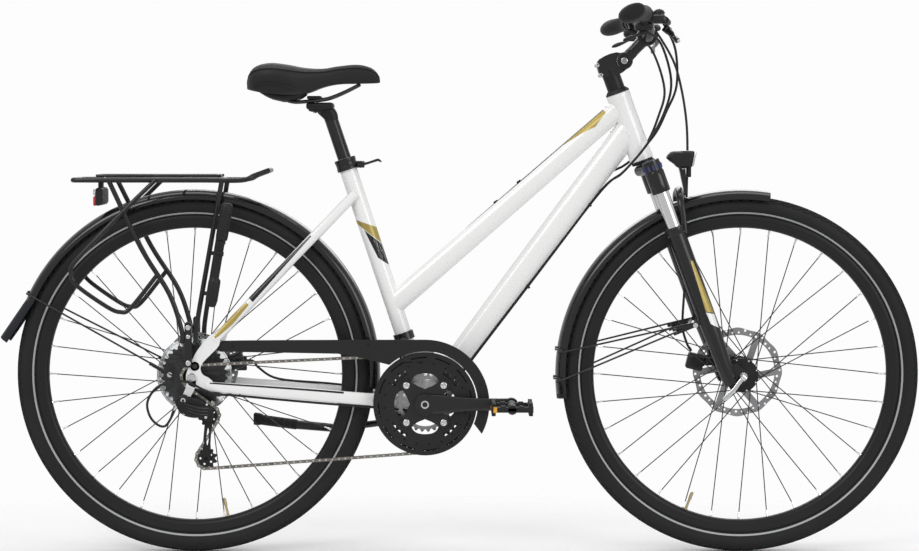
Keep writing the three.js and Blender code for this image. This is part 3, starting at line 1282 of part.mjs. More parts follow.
function makeCarrier() {
  const height = carrier.deckZ - carrier.footTopZ;
  const rails = sides.map((side) => wire([
    point(carrier.rearX, side * carrier.railY, carrier.deckZ),
    point(carrier.frontX, side * carrier.railY, carrier.deckZ),
    point(carrier.hoopX, side * carrier.railY * 0.7, carrier.hoopZ),
  ], carrier.tubeRadius, round.carrier));
  const crossX = [carrier.rearX, carrier.rearX + carrier.crossStep, deckFlap.frontX];
  const crosses = crossX.map((x) => rod(point(x, carrier.railY, carrier.deckZ),
    point(x, -carrier.railY, carrier.deckZ),
    carrier.tubeRadius, round.carrier));
  const hoop = rod(point(carrier.hoopX, carrier.railY * 0.72, carrier.hoopZ),
    point(carrier.hoopX, -carrier.railY * 0.72, carrier.hoopZ), carrier.tubeRadius, round.carrier);
  const spine = rod(point(carrier.rearX, 0, carrier.deckZ), point(deckFlap.frontX, 0, carrier.deckZ),
    carrier.tubeRadius * 0.8, round.carrier);
  const legs = sides.flatMap((side) => [
    wire(carrierPath(side, rearLegShares, height), carrier.tubeRadius, round.carrier),
    wire(carrierPath(side, frontLegShares, height), carrier.tubeRadius, round.carrier),
    wire(carrierPath(side, loopShares, height), carrier.tubeRadius * 0.9, round.carrier),
  ]);
  const feet = sides.map((side) => {
    const near = side * (dropoutInner + dropout.thickness + gap);
    const far = near + side * carrier.footThickness * 2;
    const half = carrier.footWidth / 2;
    return plate([
      [carrier.footX - half, carrier.footZ], [carrier.footX + half, carrier.footZ],
      [carrier.footX + half * 2.2, carrier.footTopZ], [carrier.footX - half * 2.2, carrier.footTopZ],
    ], Math.min(near, far), Math.max(near, far));
  });
  return join(...rails, ...crosses, hoop, spine, ...legs, ...feet);
}

addPiece(touring, 'carrier', makeCarrier(), blackPaint);

// Spring flap: a wire bow hinged on the carrier's front cross tube
function makeDeckFlap() {
  const z = carrier.deckZ + carrier.tubeRadius + deckFlap.radius + gap;
  const low = deckFlap.frontX - carrier.tubeRadius - deckFlap.radius - gap;
  const corners = [
    point(low, 0, z), point(low, deckFlap.y, z), point(deckFlap.rearX, deckFlap.y, z),
    point(deckFlap.rearX, -deckFlap.y, z), point(low, -deckFlap.y, z),
  ];
  return join(...corners.map((from, i) => {
    const to = corners[(i + 1) % corners.length];
    const reach = to.clone().sub(from).setLength(deckFlap.radius / 2);
    return rod(from.clone().sub(reach), to.clone().add(reach), deckFlap.radius, round.wire);
  }));
}

addPiece(touring, 'deck_flap', makeDeckFlap(), blackPaint);

// Rear light, hung under the deck's second cross tube
function makeRearLight() {
  const hook = carrier.deckZ - carrier.tubeRadius * Math.cos(Math.PI / round.carrier) - gap;
  const x = carrier.rearX + carrier.crossStep;
  return join(
    block(rearLight.length, rearLight.width, rearLight.height,
      point(x, 0, hook - rearLight.drop - rearLight.height / 2)),
    block(rearLight.length / 2, rearLight.width / 4, rearLight.drop + overrun,
      point(x, 0, hook - (rearLight.drop + overrun) / 2)),
  );
}

addPiece(touring, 'rear_light', makeRearLight(), redLens);

// Chain cover: an arc over the large ring that runs back above the chain to the dropout
function makeChainCover() {
  const { radius, depth, rearDepth, y, width, rearX, from } = chainCover;
  const steps = 12;
  const arc = (r, to, reverse) => {
    const points = Array.from({ length: steps + 1 }, (_, i) => {
      const angle = from + ((to - from) * i) / steps;
      return [bottomBracket.x + r * Math.cos(angle), bottomBracket.z + r * Math.sin(angle)];
    });
    return reverse ? points.reverse() : points;
  };
  const topZ = bottomBracket.z + radius;
  const outline = [
    ...arc(radius, Math.PI / 2, false), [rearX, topZ - chainCover.rearFall],
    [rearX - chainCover.rearTip, topZ - chainCover.rearFall - rearDepth / 2],
    [rearX, topZ - chainCover.rearFall - rearDepth], [chainCover.dipX, topZ - chainCover.dipDepth],
    ...arc(radius - depth, chainCover.innerTo, true),
  ];
  return plate(outline, y - width / 2, y + width / 2);
}

addPiece(touring, 'chain_cover', makeChainCover(), blackPlastic);

// Disc brake caliper: a block over the rotor's edge with a foot on the frame
function makeCaliper(hub, angle, foot) {
  const { length, height, inside, outside, padReach, slot } = caliper;
  const body = block(length, inside + outside, height,
    point(hub.rotorRadius + padReach, hub.rotorY + (outside - inside) / 2, 0));
  const slotBox = block(hub.rotorRadius, slot, height * 2,
    point(hub.rotorRadius / 2 + runningGap, hub.rotorY, 0));
  return cut(join(body.rotateY(-angle), ...foot), slotBox.rotateY(-angle));
}

const frontFoot = block(caliper.footLength, caliper.footWidth, caliper.footHeight,
  point(frontHub.rotorRadius * -0.62, frontHub.rotorY + caliper.footWidth / 2 + caliper.slot,
    caliper.footHeight * 0.9));
const frontLegRod = rod(
  legTop(1, fork.lowerEnd).sub(point(fork.rake, 0, -fork.length)),
  legTop(1, fork.lowerTop).sub(point(fork.rake, 0, -fork.length)), fork.lowerRadius + gap, round.hub,
).rotateY(-headTube.lean);
addPiece(frontWheelPlace, 'front_caliper',
  cut(makeCaliper(frontHub, caliper.frontAngle, [frontFoot]), frontLegRod), blackPaint);

const rearFoot = block(caliper.footLength, caliper.footWidth * 1.2, caliper.footHeight * 1.6,
  point(rearHub.rotorRadius * 1.08, rearHub.rotorY + caliper.footWidth, caliper.rearFootZ));
addPiece(rearWheelPlace, 'rear_caliper',
  cut(makeCaliper(rearHub, caliper.rearAngle,
    [rearFoot]), moved(makeChainstayTool(), rearAxle.clone().negate())), blackPaint);

// Axles with their nuts; the front one ends in the cam of its quick-release lever.
function makeAxle(inner, faceThickness, nutRadius, nutWidth) {
  const face = inner + faceThickness + gap;
  return join(
    disc(axleRadius, -face - nutWidth, face + nutWidth, round.tube),
    disc(nutRadius, face, face + nutWidth, round.rod), disc(nutRadius, -face - nutWidth, -face, round.rod),
  );
}

addPiece(rearWheelPlace, 'rear_axle',
  makeAxle(dropoutInner, dropout.thickness, axle.nutRadius, axle.nutWidth), silver);
addPiece(frontWheelPlace, 'front_axle',
  makeAxle(frontHub.spacing / 2, fork.tipThickness, axle.nutRadius, axle.nutWidth), silver);

function makeReleaseLever() {
  const y = -frontHub.spacing / 2 - fork.tipThickness - axle.nutWidth - gap * 2 - axle.camRadius;
  const along = point(-Math.sin(axle.leverLean), 0, -Math.cos(axle.leverLean));
  const camAxis = along.clone().cross(across);
  const at = (share, out) => point(0, y - out, 0).addScaledVector(along, axle.leverLength * share);
  const [root, knee, end] = [at(0, 0), at(0.4, axle.camRadius / 3), at(1, axle.camRadius / 3)];
  return join(
    rod(root.clone().addScaledVector(camAxis, -axle.camRadius),
      root.clone().addScaledVector(camAxis, axle.camRadius),
      axle.camRadius, round.tube),
    member([root, knee, end].map((place, i) =>
      ({ at: place, depth: axle.leverWidth * (1 + i / 2), width: axle.leverWidth / 2 })), round.rod),
  );
}

addPiece(frontWheelPlace, 'front_release_lever', makeReleaseLever(), silver);

// Rear derailleur: a body bolted to the hanger that carries the cage and its two pulleys
function makeDerailleur() {
  const outerY = -dropoutInner - dropout.thickness - gap;
  const { eye } = makeHanger();
  const eyeAt = eye.clone().sub(rearAxle);
  const knuckle = moved(disc(derailleur.knuckle, outerY - derailleur.width, outerY, round.hub), eyeAt);
  const cageFace = chainY - derailleur.cageHalf - derailleur.plate - gap;
  const pivotAt = point(pulley.upper[0], 0, pulley.upper[1]);
  const arm = member([
    { at: eyeAt.clone().setY(outerY - derailleur.width / 2), depth: derailleur.armDepth,
      width: derailleur.width * 0.8 },
    { at: point(derailleur.kneeX, outerY - derailleur.width * 0.4, derailleur.kneeZ),
      depth: derailleur.armDepth, width: derailleur.width * 0.8 },
    { at: pivotAt.clone().setY(cageFace - derailleur.boss / 2), depth: derailleur.armDepth * 0.8,
      width: derailleur.boss },
  ], round.tube);
  const boss = moved(disc(derailleur.pivot, cageFace - derailleur.boss, cageFace, round.hub), pivotAt);
  return join(knuckle, arm, boss);
}

function makeCage() {
  const [upper, lower] = [point(pulley.upper[0], 0, pulley.upper[1]),
    point(pulley.lower[0], 0, pulley.lower[1])];
  const faces = [-1, 1].map((side) => chainY + side * (derailleur.cageHalf + derailleur.plate / 2));
  const plates = faces.flatMap((y) => [
    block(derailleur.cageWidth, derailleur.plate, upper.distanceTo(lower), point(0, 0, 0))
      .rotateY(Math.atan2(lower.x - upper.x, upper.z - lower.z))
      .translate((upper.x + lower.x) / 2, y, (upper.z + lower.z) / 2),
    moved(disc(derailleur.cageEnd, y - derailleur.plate / 2, y + derailleur.plate / 2, round.tube), upper),
    moved(disc(derailleur.cageEnd, y - derailleur.plate / 2, y + derailleur.plate / 2, round.tube), lower),
  ]);
  const pins = [upper, lower].map((at) => moved(disc(derailleur.pin, faces[0], faces[1], round.rod), at));
  return join(...plates, ...pins);
}

function makePulley() {
  const half = pulley.thickness / 2;
  return toothed(pulley.teeth, -half, half, pulley.boreRadius);
}

addPiece(rearWheelPlace, 'rear_derailleur', makeDerailleur(), blackPaint);
addPiece(rearWheelPlace, 'derailleur_cage', makeCage(), blackPaint);
addPiece(group(rearWheelPlace, point(pulley.upper[0], chainY, pulley.upper[1])), 'pulley_upper',
  makePulley(), blackPlastic);
addPiece(group(rearWheelPlace, point(pulley.lower[0], chainY, pulley.lower[1])), 'pulley_lower',
  makePulley(), blackPlastic);

// Front derailleur: a cage over the large ring hung from a band on the seat tube
function makeFrontDerailleur() {
  const { innerRadius, outerRadius, from, to, plateWidth, outside, inside } = frontCage;
  const steps = 3;
  const arc = (radius) => Array.from({ length: steps + 1 }, (_, i) => {
    const angle = from + ((to - from) * i) / steps;
    return [radius * Math.cos(angle), radius * Math.sin(angle)];
  });
  const cheek = (y) => plate([...arc(innerRadius), ...arc(outerRadius).reverse()], y - plateWidth / 2,
    y + plateWidth / 2);
  const roof = plate([...arc(outerRadius - plateWidth), ...arc(outerRadius).reverse()], chainY - outside,
    chainY + inside);
  const bandAt = alongSeat(frontCage.bandShare).sub(bottomBracket);
  const bandEnd = bandAt.clone().addScaledVector(seatUp, frontCage.bandHeight);
  const band = rod(bandAt, bandEnd, seatTube.radius + frontCage.bandWall, round.frame);
  const linkFrom = bandAt.clone().lerp(bandEnd,
    1 / 2).add(point(0, -seatTube.radius - frontCage.bandWall / 2, 0));
  const linkTo = point(outerRadius * Math.cos(to) * 0.98, chainY + inside,
    outerRadius * Math.sin(to) * 0.98);
  const hole = rod(bandAt.clone().addScaledVector(seatUp, -overrun),
    bandEnd.clone().addScaledVector(seatUp, overrun),
    seatTube.flareRadius + gap, round.frame);
  return cut(join(band, cheek(chainY - outside), cheek(chainY + inside), roof,
    rod(linkFrom, linkTo, frontCage.linkRadius, round.rod)), hole);
}

addPiece(group(touring, bottomBracket), 'front_derailleur', makeFrontDerailleur(), blackPaint);

// Kickstand leg, folded along the left chainstay
function makeStandLeg() {
  const hubEnd = standAxis.clone().multiplyScalar(-stand.hubLength);
  const hubStart = standAxis.clone().multiplyScalar(runningGap - gap);
  const spots = stand.reach.map((x, i) => point(x, stand.out * Math.min(1, -x / -stand.reach[1]),
    stand.fall[i]));
  const lifted = spots.map((spot) =>
    spot.clone().add(standAxis.clone().multiplyScalar(-stand.hubLength / 2)));
  const root = standAxis.clone().multiplyScalar(-stand.hubLength / 2);
  const leg = join(
    rod(hubStart, hubEnd, stand.hubRadius, round.hub),
    member([root, ...lifted].map((at, i) => {
      const radius = i > 2 ? stand.sleeveRadius : stand.legRadius;
      return { at, depth: radius * 2, width: radius * 2 };
    }), round.tube),
  );
  return cut(leg, rod(hubStart, standAxis.clone().multiplyScalar(stand.bossLength), stand.hubRadius + gap,
    round.hub));
}

addPiece(group(touring, standPivot), 'kickstand_leg', makeStandLeg(), blackPaint);

// Pump, clipped along the carrier's right front leg
const pumpTop = point(pump.x, -pump.y, pump.topZ);
const pumpDown = point(-Math.sin(pump.lean), 0, -Math.cos(pump.lean));
const onPump = (length) => pumpTop.clone().addScaledVector(pumpDown, length);

function makePumpClip(length) {
  const start = onPump(length);
  const [, knee, foot] = carrierPath(-1, frontLegShares, carrier.deckZ - carrier.footTopZ);
  const leg = knee.clone().lerp(foot, (knee.z - start.z) / (knee.z - foot.z));
  const end = start.clone().lerp(leg, 1 - (carrier.tubeRadius + gap * 2) / start.distanceTo(leg));
  return rod(start, end, pump.clipRadius);
}

addPiece(touring, 'pump_barrel', cut(
  join(
    rod(onPump(pump.handle + gap), onPump(pump.length), pump.barrelRadius, round.hub),
    ...pump.clips.map(makePumpClip),
  ),
  rod(onPump(0), onPump(pump.length - pump.wall), pump.rodRadius + runningGap, round.tube),
), blackPlastic);
addPiece(touring, 'pump_handle', join(
  rod(onPump(0), onPump(pump.handle), pump.handleRadius, round.hub),
  rod(onPump(pump.handle - overrun), onPump(pump.length - pump.wall * 2), pump.rodRadius, round.tube),
), blackPlastic);

// Headlight on a bracket in front of the fork's arch
function makeHeadlight() {
  const { length, width, height, bracketWidth, bracketThickness } = headlight;
  const x = frontAxle.x - headlight.behind;
  const z = frontAxle.z + headlight.above;
  const footX = frontAxle.x - headlight.footBehind;
  const footZ = frontAxle.z + headlight.footAbove;
  const shellShares = [[0.5, 0.36], [0.5, -0.36], [0.2, -0.5], [-0.28, -0.44], [-0.5, -0.16], [-0.5, 0.2],
    [-0.25, 0.42], [0.2, 0.5]];
  const body = plate(shellShares.map(([a, b]) => [x + a * length, z + b * height]), -width / 2, width / 2);
  const bracket = plate([
    [x - length * 0.1, z - height * 0.3], [x + length * 0.15, z - height * 0.3],
    [footX + bracketThickness, footZ], [footX, footZ],
  ], -bracketWidth / 2, bracketWidth / 2);
  return join(body, bracket);
}

addPiece(touring, 'headlight', makeHeadlight(), blackPlastic);

// Cables follow their real routes. Near the bar and the brakes the route is a list of shares of one
// length; on the frame it is laid along the down tube and the chainstays.
const cablePlaces = (shares) => shares.map((share) => point(...share).multiplyScalar(cables.reach));
const downTubeTop = alongHead(downTube.headShare);
const downTubeRun = bottomBracket.clone().sub(downTubeTop);
const belowDownTube = downTubeRun.clone().normalize().cross(across);

// A place at a share of the down tube, sideways and below its axis by shares of its half sizes
function onDownTube(share, aside, below) {
  const width = downTube.headWidth + (downTube.endWidth - downTube.headWidth) * share;
  const depth = downTube.headDepth + (downTube.endDepth - downTube.headDepth) * share;
  const place = downTubeTop.clone().addScaledVector(downTubeRun, share);
  return place.addScaledVector(belowDownTube, (below * depth) / 2).add(point(0, (aside * width) / 2, 0));
}

// A place above or below the rear part of a chainstay
function onChainstay(side, share, up) {
  const waist = fromBracket(-frameTaper.waistBehind, side * frameTaper.waistY, frameTaper.waistLift);
  const end = fromRear(dropout.length * 0.42, side * stayEndY, -dropout.height * 0.16);
  const thinning = Math.max(0, (share - frameTaper.kneeShare) / (1 - frameTaper.kneeShare));
  const height = chainstay.height + (chainstay.endHeight - chainstay.height) * thinning;
  return waist.lerp(end, share).add(point(0, 0, up * (height / 2 + cables.radius + gap)));
}

const rearShiftHead = [
  [0.349, -0.139, 1.0385], [0.35, -0.136, 1.0382], [0.362, -0.126, 1.033], [0.392, -0.104, 1.008],
  [0.414, -0.072, 0.94],
  [0.406, -0.044, 0.884], [0.374, -0.036, 0.82], [0.326, -0.033, 0.762],
];
const rearShiftTail = [
  [-0.479, -0.074, 0.3225], [-0.505, -0.086, 0.334], [-0.54, -0.0905, 0.35], [-0.588, -0.094, 0.342],
  [-0.612, -0.095, 0.31], [-0.604, -0.095, 0.276], [-0.578, -0.093, 0.262], [-0.556, -0.088, 0.3],
];
const rearHoseHead = [
  [0.386, -0.1372, 1.053], [0.387, -0.1335, 1.0526], [0.397, -0.123, 1.043], [0.42, -0.096, 0.998],
  [0.428, -0.034, 0.93], [0.412, 0.01, 0.88],
  [0.388, 0.034, 0.83], [0.336, 0.036, 0.776],
];
const rearHoseTail = [[-0.405, 0.06, 0.362], [-0.4165, 0.053, 0.377], [-0.4318, 0.0505, 0.3785]];
const rearHoseMiddle = [[-0.045, 0.0295, 0.342], [-0.08, 0.034, 0.3335], [-0.112, 0.0358, 0.3235]];
const frontShiftHead = [
  [0.349, 0.139, 1.0385], [0.35, 0.136, 1.0382], [0.364, 0.125, 1.032], [0.392, 0.1, 1.0],
  [0.412, 0.06, 0.925],
  [0.398, 0.034, 0.87], [0.372, 0.0285, 0.812], [0.326, 0.0285, 0.757],
];
const frontShiftTail = [
  [-0.1015, -0.0125, 0.325], [-0.108, -0.018, 0.35], [-0.116, -0.0255, 0.38], [-0.116, -0.0295, 0.408],
];
const frontHoseShares = [
  [0.386, 0.1372, 1.053], [0.387, 0.1335, 1.0526], [0.4, 0.122, 1.042], [0.432, 0.1, 0.985],
  [0.446, 0.07, 0.93], [0.456, 0.056, 0.86],
  [0.458, 0.05, 0.79], [0.456, 0.044, 0.7], [0.456, 0.04, 0.6], [0.452, 0.0395, 0.52], [0.449, 0.04, 0.45],
  [0.458, 0.0425, 0.414], [0.4672, 0.044, 0.3985],
];
const aroundShell = (degrees, aside) => fromBracket(
  (shell.radius + cables.radius + gap * 2) * Math.cos(radians(degrees)), aside,
  (shell.radius + cables.radius + gap * 2) * Math.sin(radians(degrees)),
);

// Both shift cables lie under the down tube and pass through one guide below the bracket shell.
function makeShiftCables() {
  const rear = [
    ...cablePlaces(rearShiftHead), onDownTube(0.2, -0.3, 1.12), onDownTube(0.5, -0.3, 1.12),
    onDownTube(0.85, -0.4, 1.14),
    ...[-30, -60, -90, -120].map((degrees) => aroundShell(degrees, -cables.guideWidth / 2)),
    ...cablePlaces([[-0.088, -0.0335, 0.281], [-0.1, -0.0345, 0.286], [-0.125, -0.0355, 0.2885]]),
    ...[0, 0.3, 0.6, 0.85].map((share) => onChainstay(-1, share, -1)), ...cablePlaces(rearShiftTail),
  ];
  const front = [
    ...cablePlaces(frontShiftHead), onDownTube(0.2, 0.3, 1.12), onDownTube(0.5, 0.3, 1.12),
    onDownTube(0.85, 0.15, 1.14),
    ...[-30, -60, -90, -120, -150, -180,
      -205].map((degrees) => aroundShell(degrees, -cables.guideWidth * 0.12)),
    ...cablePlaces(frontShiftTail),
  ];
  const guide = block(cables.guideLength, cables.guideWidth * 0.8, cables.radius * 2,
    aroundShell(-90, -cables.guideWidth * 0.3));
  return join(wire(rear, cables.radius, round.cable), wire(front, cables.radius, round.cable), guide);
}

const rearHose = [
  ...cablePlaces(rearHoseHead), onDownTube(0.2, 1.2, 0.4), onDownTube(0.5, 1.2, 0.4),
  onDownTube(0.85, 1.2, 0.3),
  ...cablePlaces(rearHoseMiddle), ...[0, 0.3, 0.6].map((share) => onChainstay(1, share, 1)),
  ...cablePlaces(rearHoseTail),
];
addPiece(touring, 'shift_cables', makeShiftCables(), blackRubber);
addPiece(touring, 'rear_brake_hose', wire(rearHose, cables.radius, round.cable), blackRubber);
addPiece(touring, 'front_brake_hose', wire(cablePlaces(frontHoseShares), cables.radius, round.cable),
  blackRubber);

export default touring;
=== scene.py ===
"""Looks of the touring bicycle: smooth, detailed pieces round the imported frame. Sizes are in millimetres."""
from math import acos, atan2, copysign, cos, degrees, exp, hypot, pi, radians, sin, sqrt, tau

import bmesh
import bpy
from mathutils import Matrix, Vector
from mathutils.geometry import tessellate_polygon


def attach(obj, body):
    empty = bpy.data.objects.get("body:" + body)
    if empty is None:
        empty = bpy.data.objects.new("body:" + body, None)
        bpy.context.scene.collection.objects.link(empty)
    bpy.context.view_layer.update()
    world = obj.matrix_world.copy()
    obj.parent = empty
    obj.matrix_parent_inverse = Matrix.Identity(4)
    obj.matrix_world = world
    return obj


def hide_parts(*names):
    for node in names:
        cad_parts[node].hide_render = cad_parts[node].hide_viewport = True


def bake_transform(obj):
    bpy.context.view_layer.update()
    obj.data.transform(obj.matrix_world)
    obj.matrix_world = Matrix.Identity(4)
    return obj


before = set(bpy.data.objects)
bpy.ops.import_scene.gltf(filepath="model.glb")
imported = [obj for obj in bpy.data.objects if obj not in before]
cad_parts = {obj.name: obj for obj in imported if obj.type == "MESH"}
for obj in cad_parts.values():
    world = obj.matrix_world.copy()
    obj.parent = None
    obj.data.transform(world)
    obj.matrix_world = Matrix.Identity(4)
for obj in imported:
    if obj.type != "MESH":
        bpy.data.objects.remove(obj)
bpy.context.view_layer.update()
MM = 0.001
POLE = 0.01  # radius that closes a turned profile at its axis


def vec(x, y, z):
    return Vector((x, y, z))


Y, Z = vec(0, 1, 0), vec(0, 0, 1)


# Materials: each has its own grain, colour change and wear in nodes
def shader(name, color, rough, metal=0.0, coat=0.0, grain=600.0, bump=0.1, depth=0.0002, vary=0.12,
           blotch=6.0, sheen=0.0, clear=0.0, shine=0.5):
    material = bpy.data.materials.new(name)
    material.use_nodes = True
    nodes, links = material.node_tree.nodes, material.node_tree.links
    surface = nodes["Principled BSDF"]
    for field, value in (("Metallic", metal), ("Coat Weight", coat), ("Coat Roughness", 0.06),
                         ("Sheen Weight", sheen), ("Specular IOR Level", shine),
                         ("Transmission Weight", clear)):
        surface.inputs[field].default_value = value
    place = nodes.new("ShaderNodeTexCoord")
    fine, broad = nodes.new("ShaderNodeTexNoise"), nodes.new("ShaderNodeTexNoise")
    for noise, scale in ((fine, grain), (broad, blotch)):
        noise.inputs["Scale"].default_value = scale
        noise.inputs["Detail"].default_value = 3
        links.new(place.outputs["Object"], noise.inputs["Vector"])
    ramp = nodes.new("ShaderNodeValToRGB")
    low, high = ramp.color_ramp.elements
    low.position, high.position = 0.3, 0.7
    low.color = (*[c * (1 - vary) for c in color], 1)
    high.color = (*[min(1, c * (1 + vary)) for c in color], 1)
    links.new(broad.outputs["Fac"], ramp.inputs["Fac"])
    links.new(ramp.outputs["Color"], surface.inputs["Base Color"])
    spread = nodes.new("ShaderNodeMapRange")
    spread.inputs["To Min"].default_value = max(0.03, rough - 0.07)
    spread.inputs["To Max"].default_value = min(1, rough + 0.07)
    links.new(fine.outputs["Fac"], spread.inputs["Value"])
    links.new(spread.outputs["Result"], surface.inputs["Roughness"])
    relief = nodes.new("ShaderNodeBump")
    relief.inputs["Strength"].default_value = bump
    relief.inputs["Distance"].default_value = depth
    links.new(fine.outputs["Fac"], relief.inputs["Height"])
    links.new(relief.outputs["Normal"], surface.inputs["Normal"])
    return material


white = shader("white_lacquer", (0.88, 0.88, 0.875), 0.24, coat=0.6, grain=60, bump=0.02, vary=0.01, blotch=3)
black = shader("black_lacquer", (0.009, 0.009, 0.01), 0.3, coat=0.25, grain=900, bump=0.06, shine=0.35)
satin = shader("black_anodised", (0.012, 0.012, 0.013), 0.4, metal=0.3, grain=1500, bump=0.08, shine=0.4)
plastic = shader("black_moulding", (0.011, 0.011, 0.012), 0.5, grain=1800, bump=0.3, shine=0.35)
gloss = shader("fender_gloss", (0.007, 0.007, 0.008), 0.2, coat=0.35, grain=300, bump=0.05, shine=0.35)
flapping = shader("flap_rubber", (0.01, 0.011, 0.016), 0.55, grain=1200, bump=0.2, shine=0.3)
rubber = shader("grip_rubber", (0.013, 0.013, 0.014), 0.72, grain=2200, bump=0.5, sheen=0.06, shine=0.25)
casing = shader("tyre_side", (0.013, 0.013, 0.0135), 0.74, grain=1600, bump=0.35, vary=0.2, shine=0.3)
tread = shader("tyre_tread", (0.015, 0.015, 0.015), 0.85, grain=1100, bump=0.5, vary=0.25, blotch=12,
               shine=0.25)
stripe = shader("reflex_stripe", (0.42, 0.43, 0.43), 0.4, grain=1500, bump=0.2, vary=0.06)
silver = shader("polished_metal", (0.72, 0.73, 0.74), 0.22, metal=1, grain=700, bump=0.05, vary=0.05)
chrome = shader("stanchion_chrome", (0.8, 0.8, 0.81), 0.1, metal=1, grain=500, bump=0.03, vary=0.03)
blue = shader("dial_blue", (0.02, 0.03, 0.14), 0.4, grain=900, bump=0.3)
steel = shader("brushed_steel", (0.36, 0.36, 0.37), 0.34, metal=1, grain=1900, bump=0.25, vary=0.12)
dark_steel = shader("dark_steel", (0.07, 0.07, 0.072), 0.36, metal=1, grain=1500, bump=0.25, vary=0.2,
                    blotch=40)
chain_steel = shader("chain_steel", (0.25, 0.235, 0.21), 0.38, metal=1, grain=1400, bump=0.25, vary=0.35,
                     blotch=60)
wire_steel = shader("spoke_steel", (0.035, 0.035, 0.037), 0.4, metal=0.6, grain=1400, bump=0.1)
gold = shader("gold_lacquer", (0.42, 0.32, 0.08), 0.38, metal=0.35, coat=0.3, grain=900, bump=0.05, vary=0.12,
              blotch=20)
leather = shader("saddle_cover", (0.009, 0.009, 0.01), 0.55, grain=1500, bump=0.6, depth=0.0003, vary=0.2,
                 sheen=0.04, shine=0.35)
leather_side = shader("saddle_side", (0.005, 0.005, 0.006), 0.42, grain=1900, bump=0.35, shine=0.35)
thread = shader("saddle_thread", (0.05, 0.05, 0.054), 0.7, grain=2500, bump=0.5)
red_lens = shader("red_lens", (0.45, 0.012, 0.012), 0.16, coat=0.6, grain=500, bump=0.5, vary=0.2, blotch=90)
clear_lens = shader("clear_lens", (0.8, 0.82, 0.84), 0.1, coat=0.8, grain=400, bump=0.5, vary=0.05,
                    clear=0.35)
guard_film = shader("clear_guard", (0.8, 0.82, 0.83), 0.12, grain=600, bump=0.1, vary=0.03, clear=0.93)
amber = shader("amber_reflector", (0.75, 0.36, 0.01), 0.2, coat=0.6, grain=900, bump=0.6, vary=0.2,
               blotch=200)
brass = shader("valve_brass", (0.5, 0.42, 0.24), 0.32, metal=1, grain=900, bump=0.1)


def smooth(points, steps, closed=False):
    """Points of a smooth curve through the given ones."""
    count = len(points)
    made = []
    for i in range(count if closed else count - 1):
        near = [k % count if closed else min(max(k, 0), count - 1) for k in range(i - 1, i + 3)]
        a, b, c, d = (points[k] for k in near)
        for s in range(steps):
            t = s / steps
            made.append((b * 2 + (c - a) * t + (a * 2 - b * 5 + c * 4 - d) * t * t
                         + (b * 3 - a - c * 3 + d) * t ** 3) / 2)
    return made if closed else made + [points[-1]]


def heading(points, i, loop=False):
    """Direction of a run at one of its points."""
    last = len(points) - 1
    ahead = points[(i + 1) % len(points)] if loop else points[min(i + 1, last)]
    behind = points[i - 1] if loop or i else points[0]
    return (ahead - behind).normalized()


def mix(pair, share):
    return pair[0] + (pair[1] - pair[0]) * share


def between(values, share):
    """Value at a share of the way through an even list."""
    last = len(values) - 1
    i = min(int(share * last), last - 1)
    return values[i].lerp(values[i + 1], share * last - i)


def polar(radius, angle, centre=(0, 0)):
    return (centre[0] + radius * cos(angle), centre[1] + radius * sin(angle))


def outward(angle):
    """Direction at an angle in the wheels' plane."""
    return vec(cos(angle), 0, sin(angle))


def circle(radius, count, centre=(0, 0)):
    return [polar(radius, tau * i / count, centre) for i in range(count)]


def rounded(angle, power):
    """Point of the unit outline between an ellipse and a rounded rectangle."""
    c, s = cos(angle), sin(angle)
    return copysign(abs(c) ** (2 / power), c), copysign(abs(s) ** (2 / power), s)


def squared(count, power):
    return [rounded(tau * i / count, power) for i in range(count)]


def mirrored(half):
    """Profile with its other half; a last point in the middle isn't doubled."""
    return half + [(r, -y) for r, y in reversed(half) if y]


def puck(radius, half, edge):
    """Profile of a disc with broken edges."""
    flat = radius - 0.6
    return [(POLE, -half), (flat, -half), (radius, edge - half), (radius, half - edge), (flat, half),
            (POLE, half)]


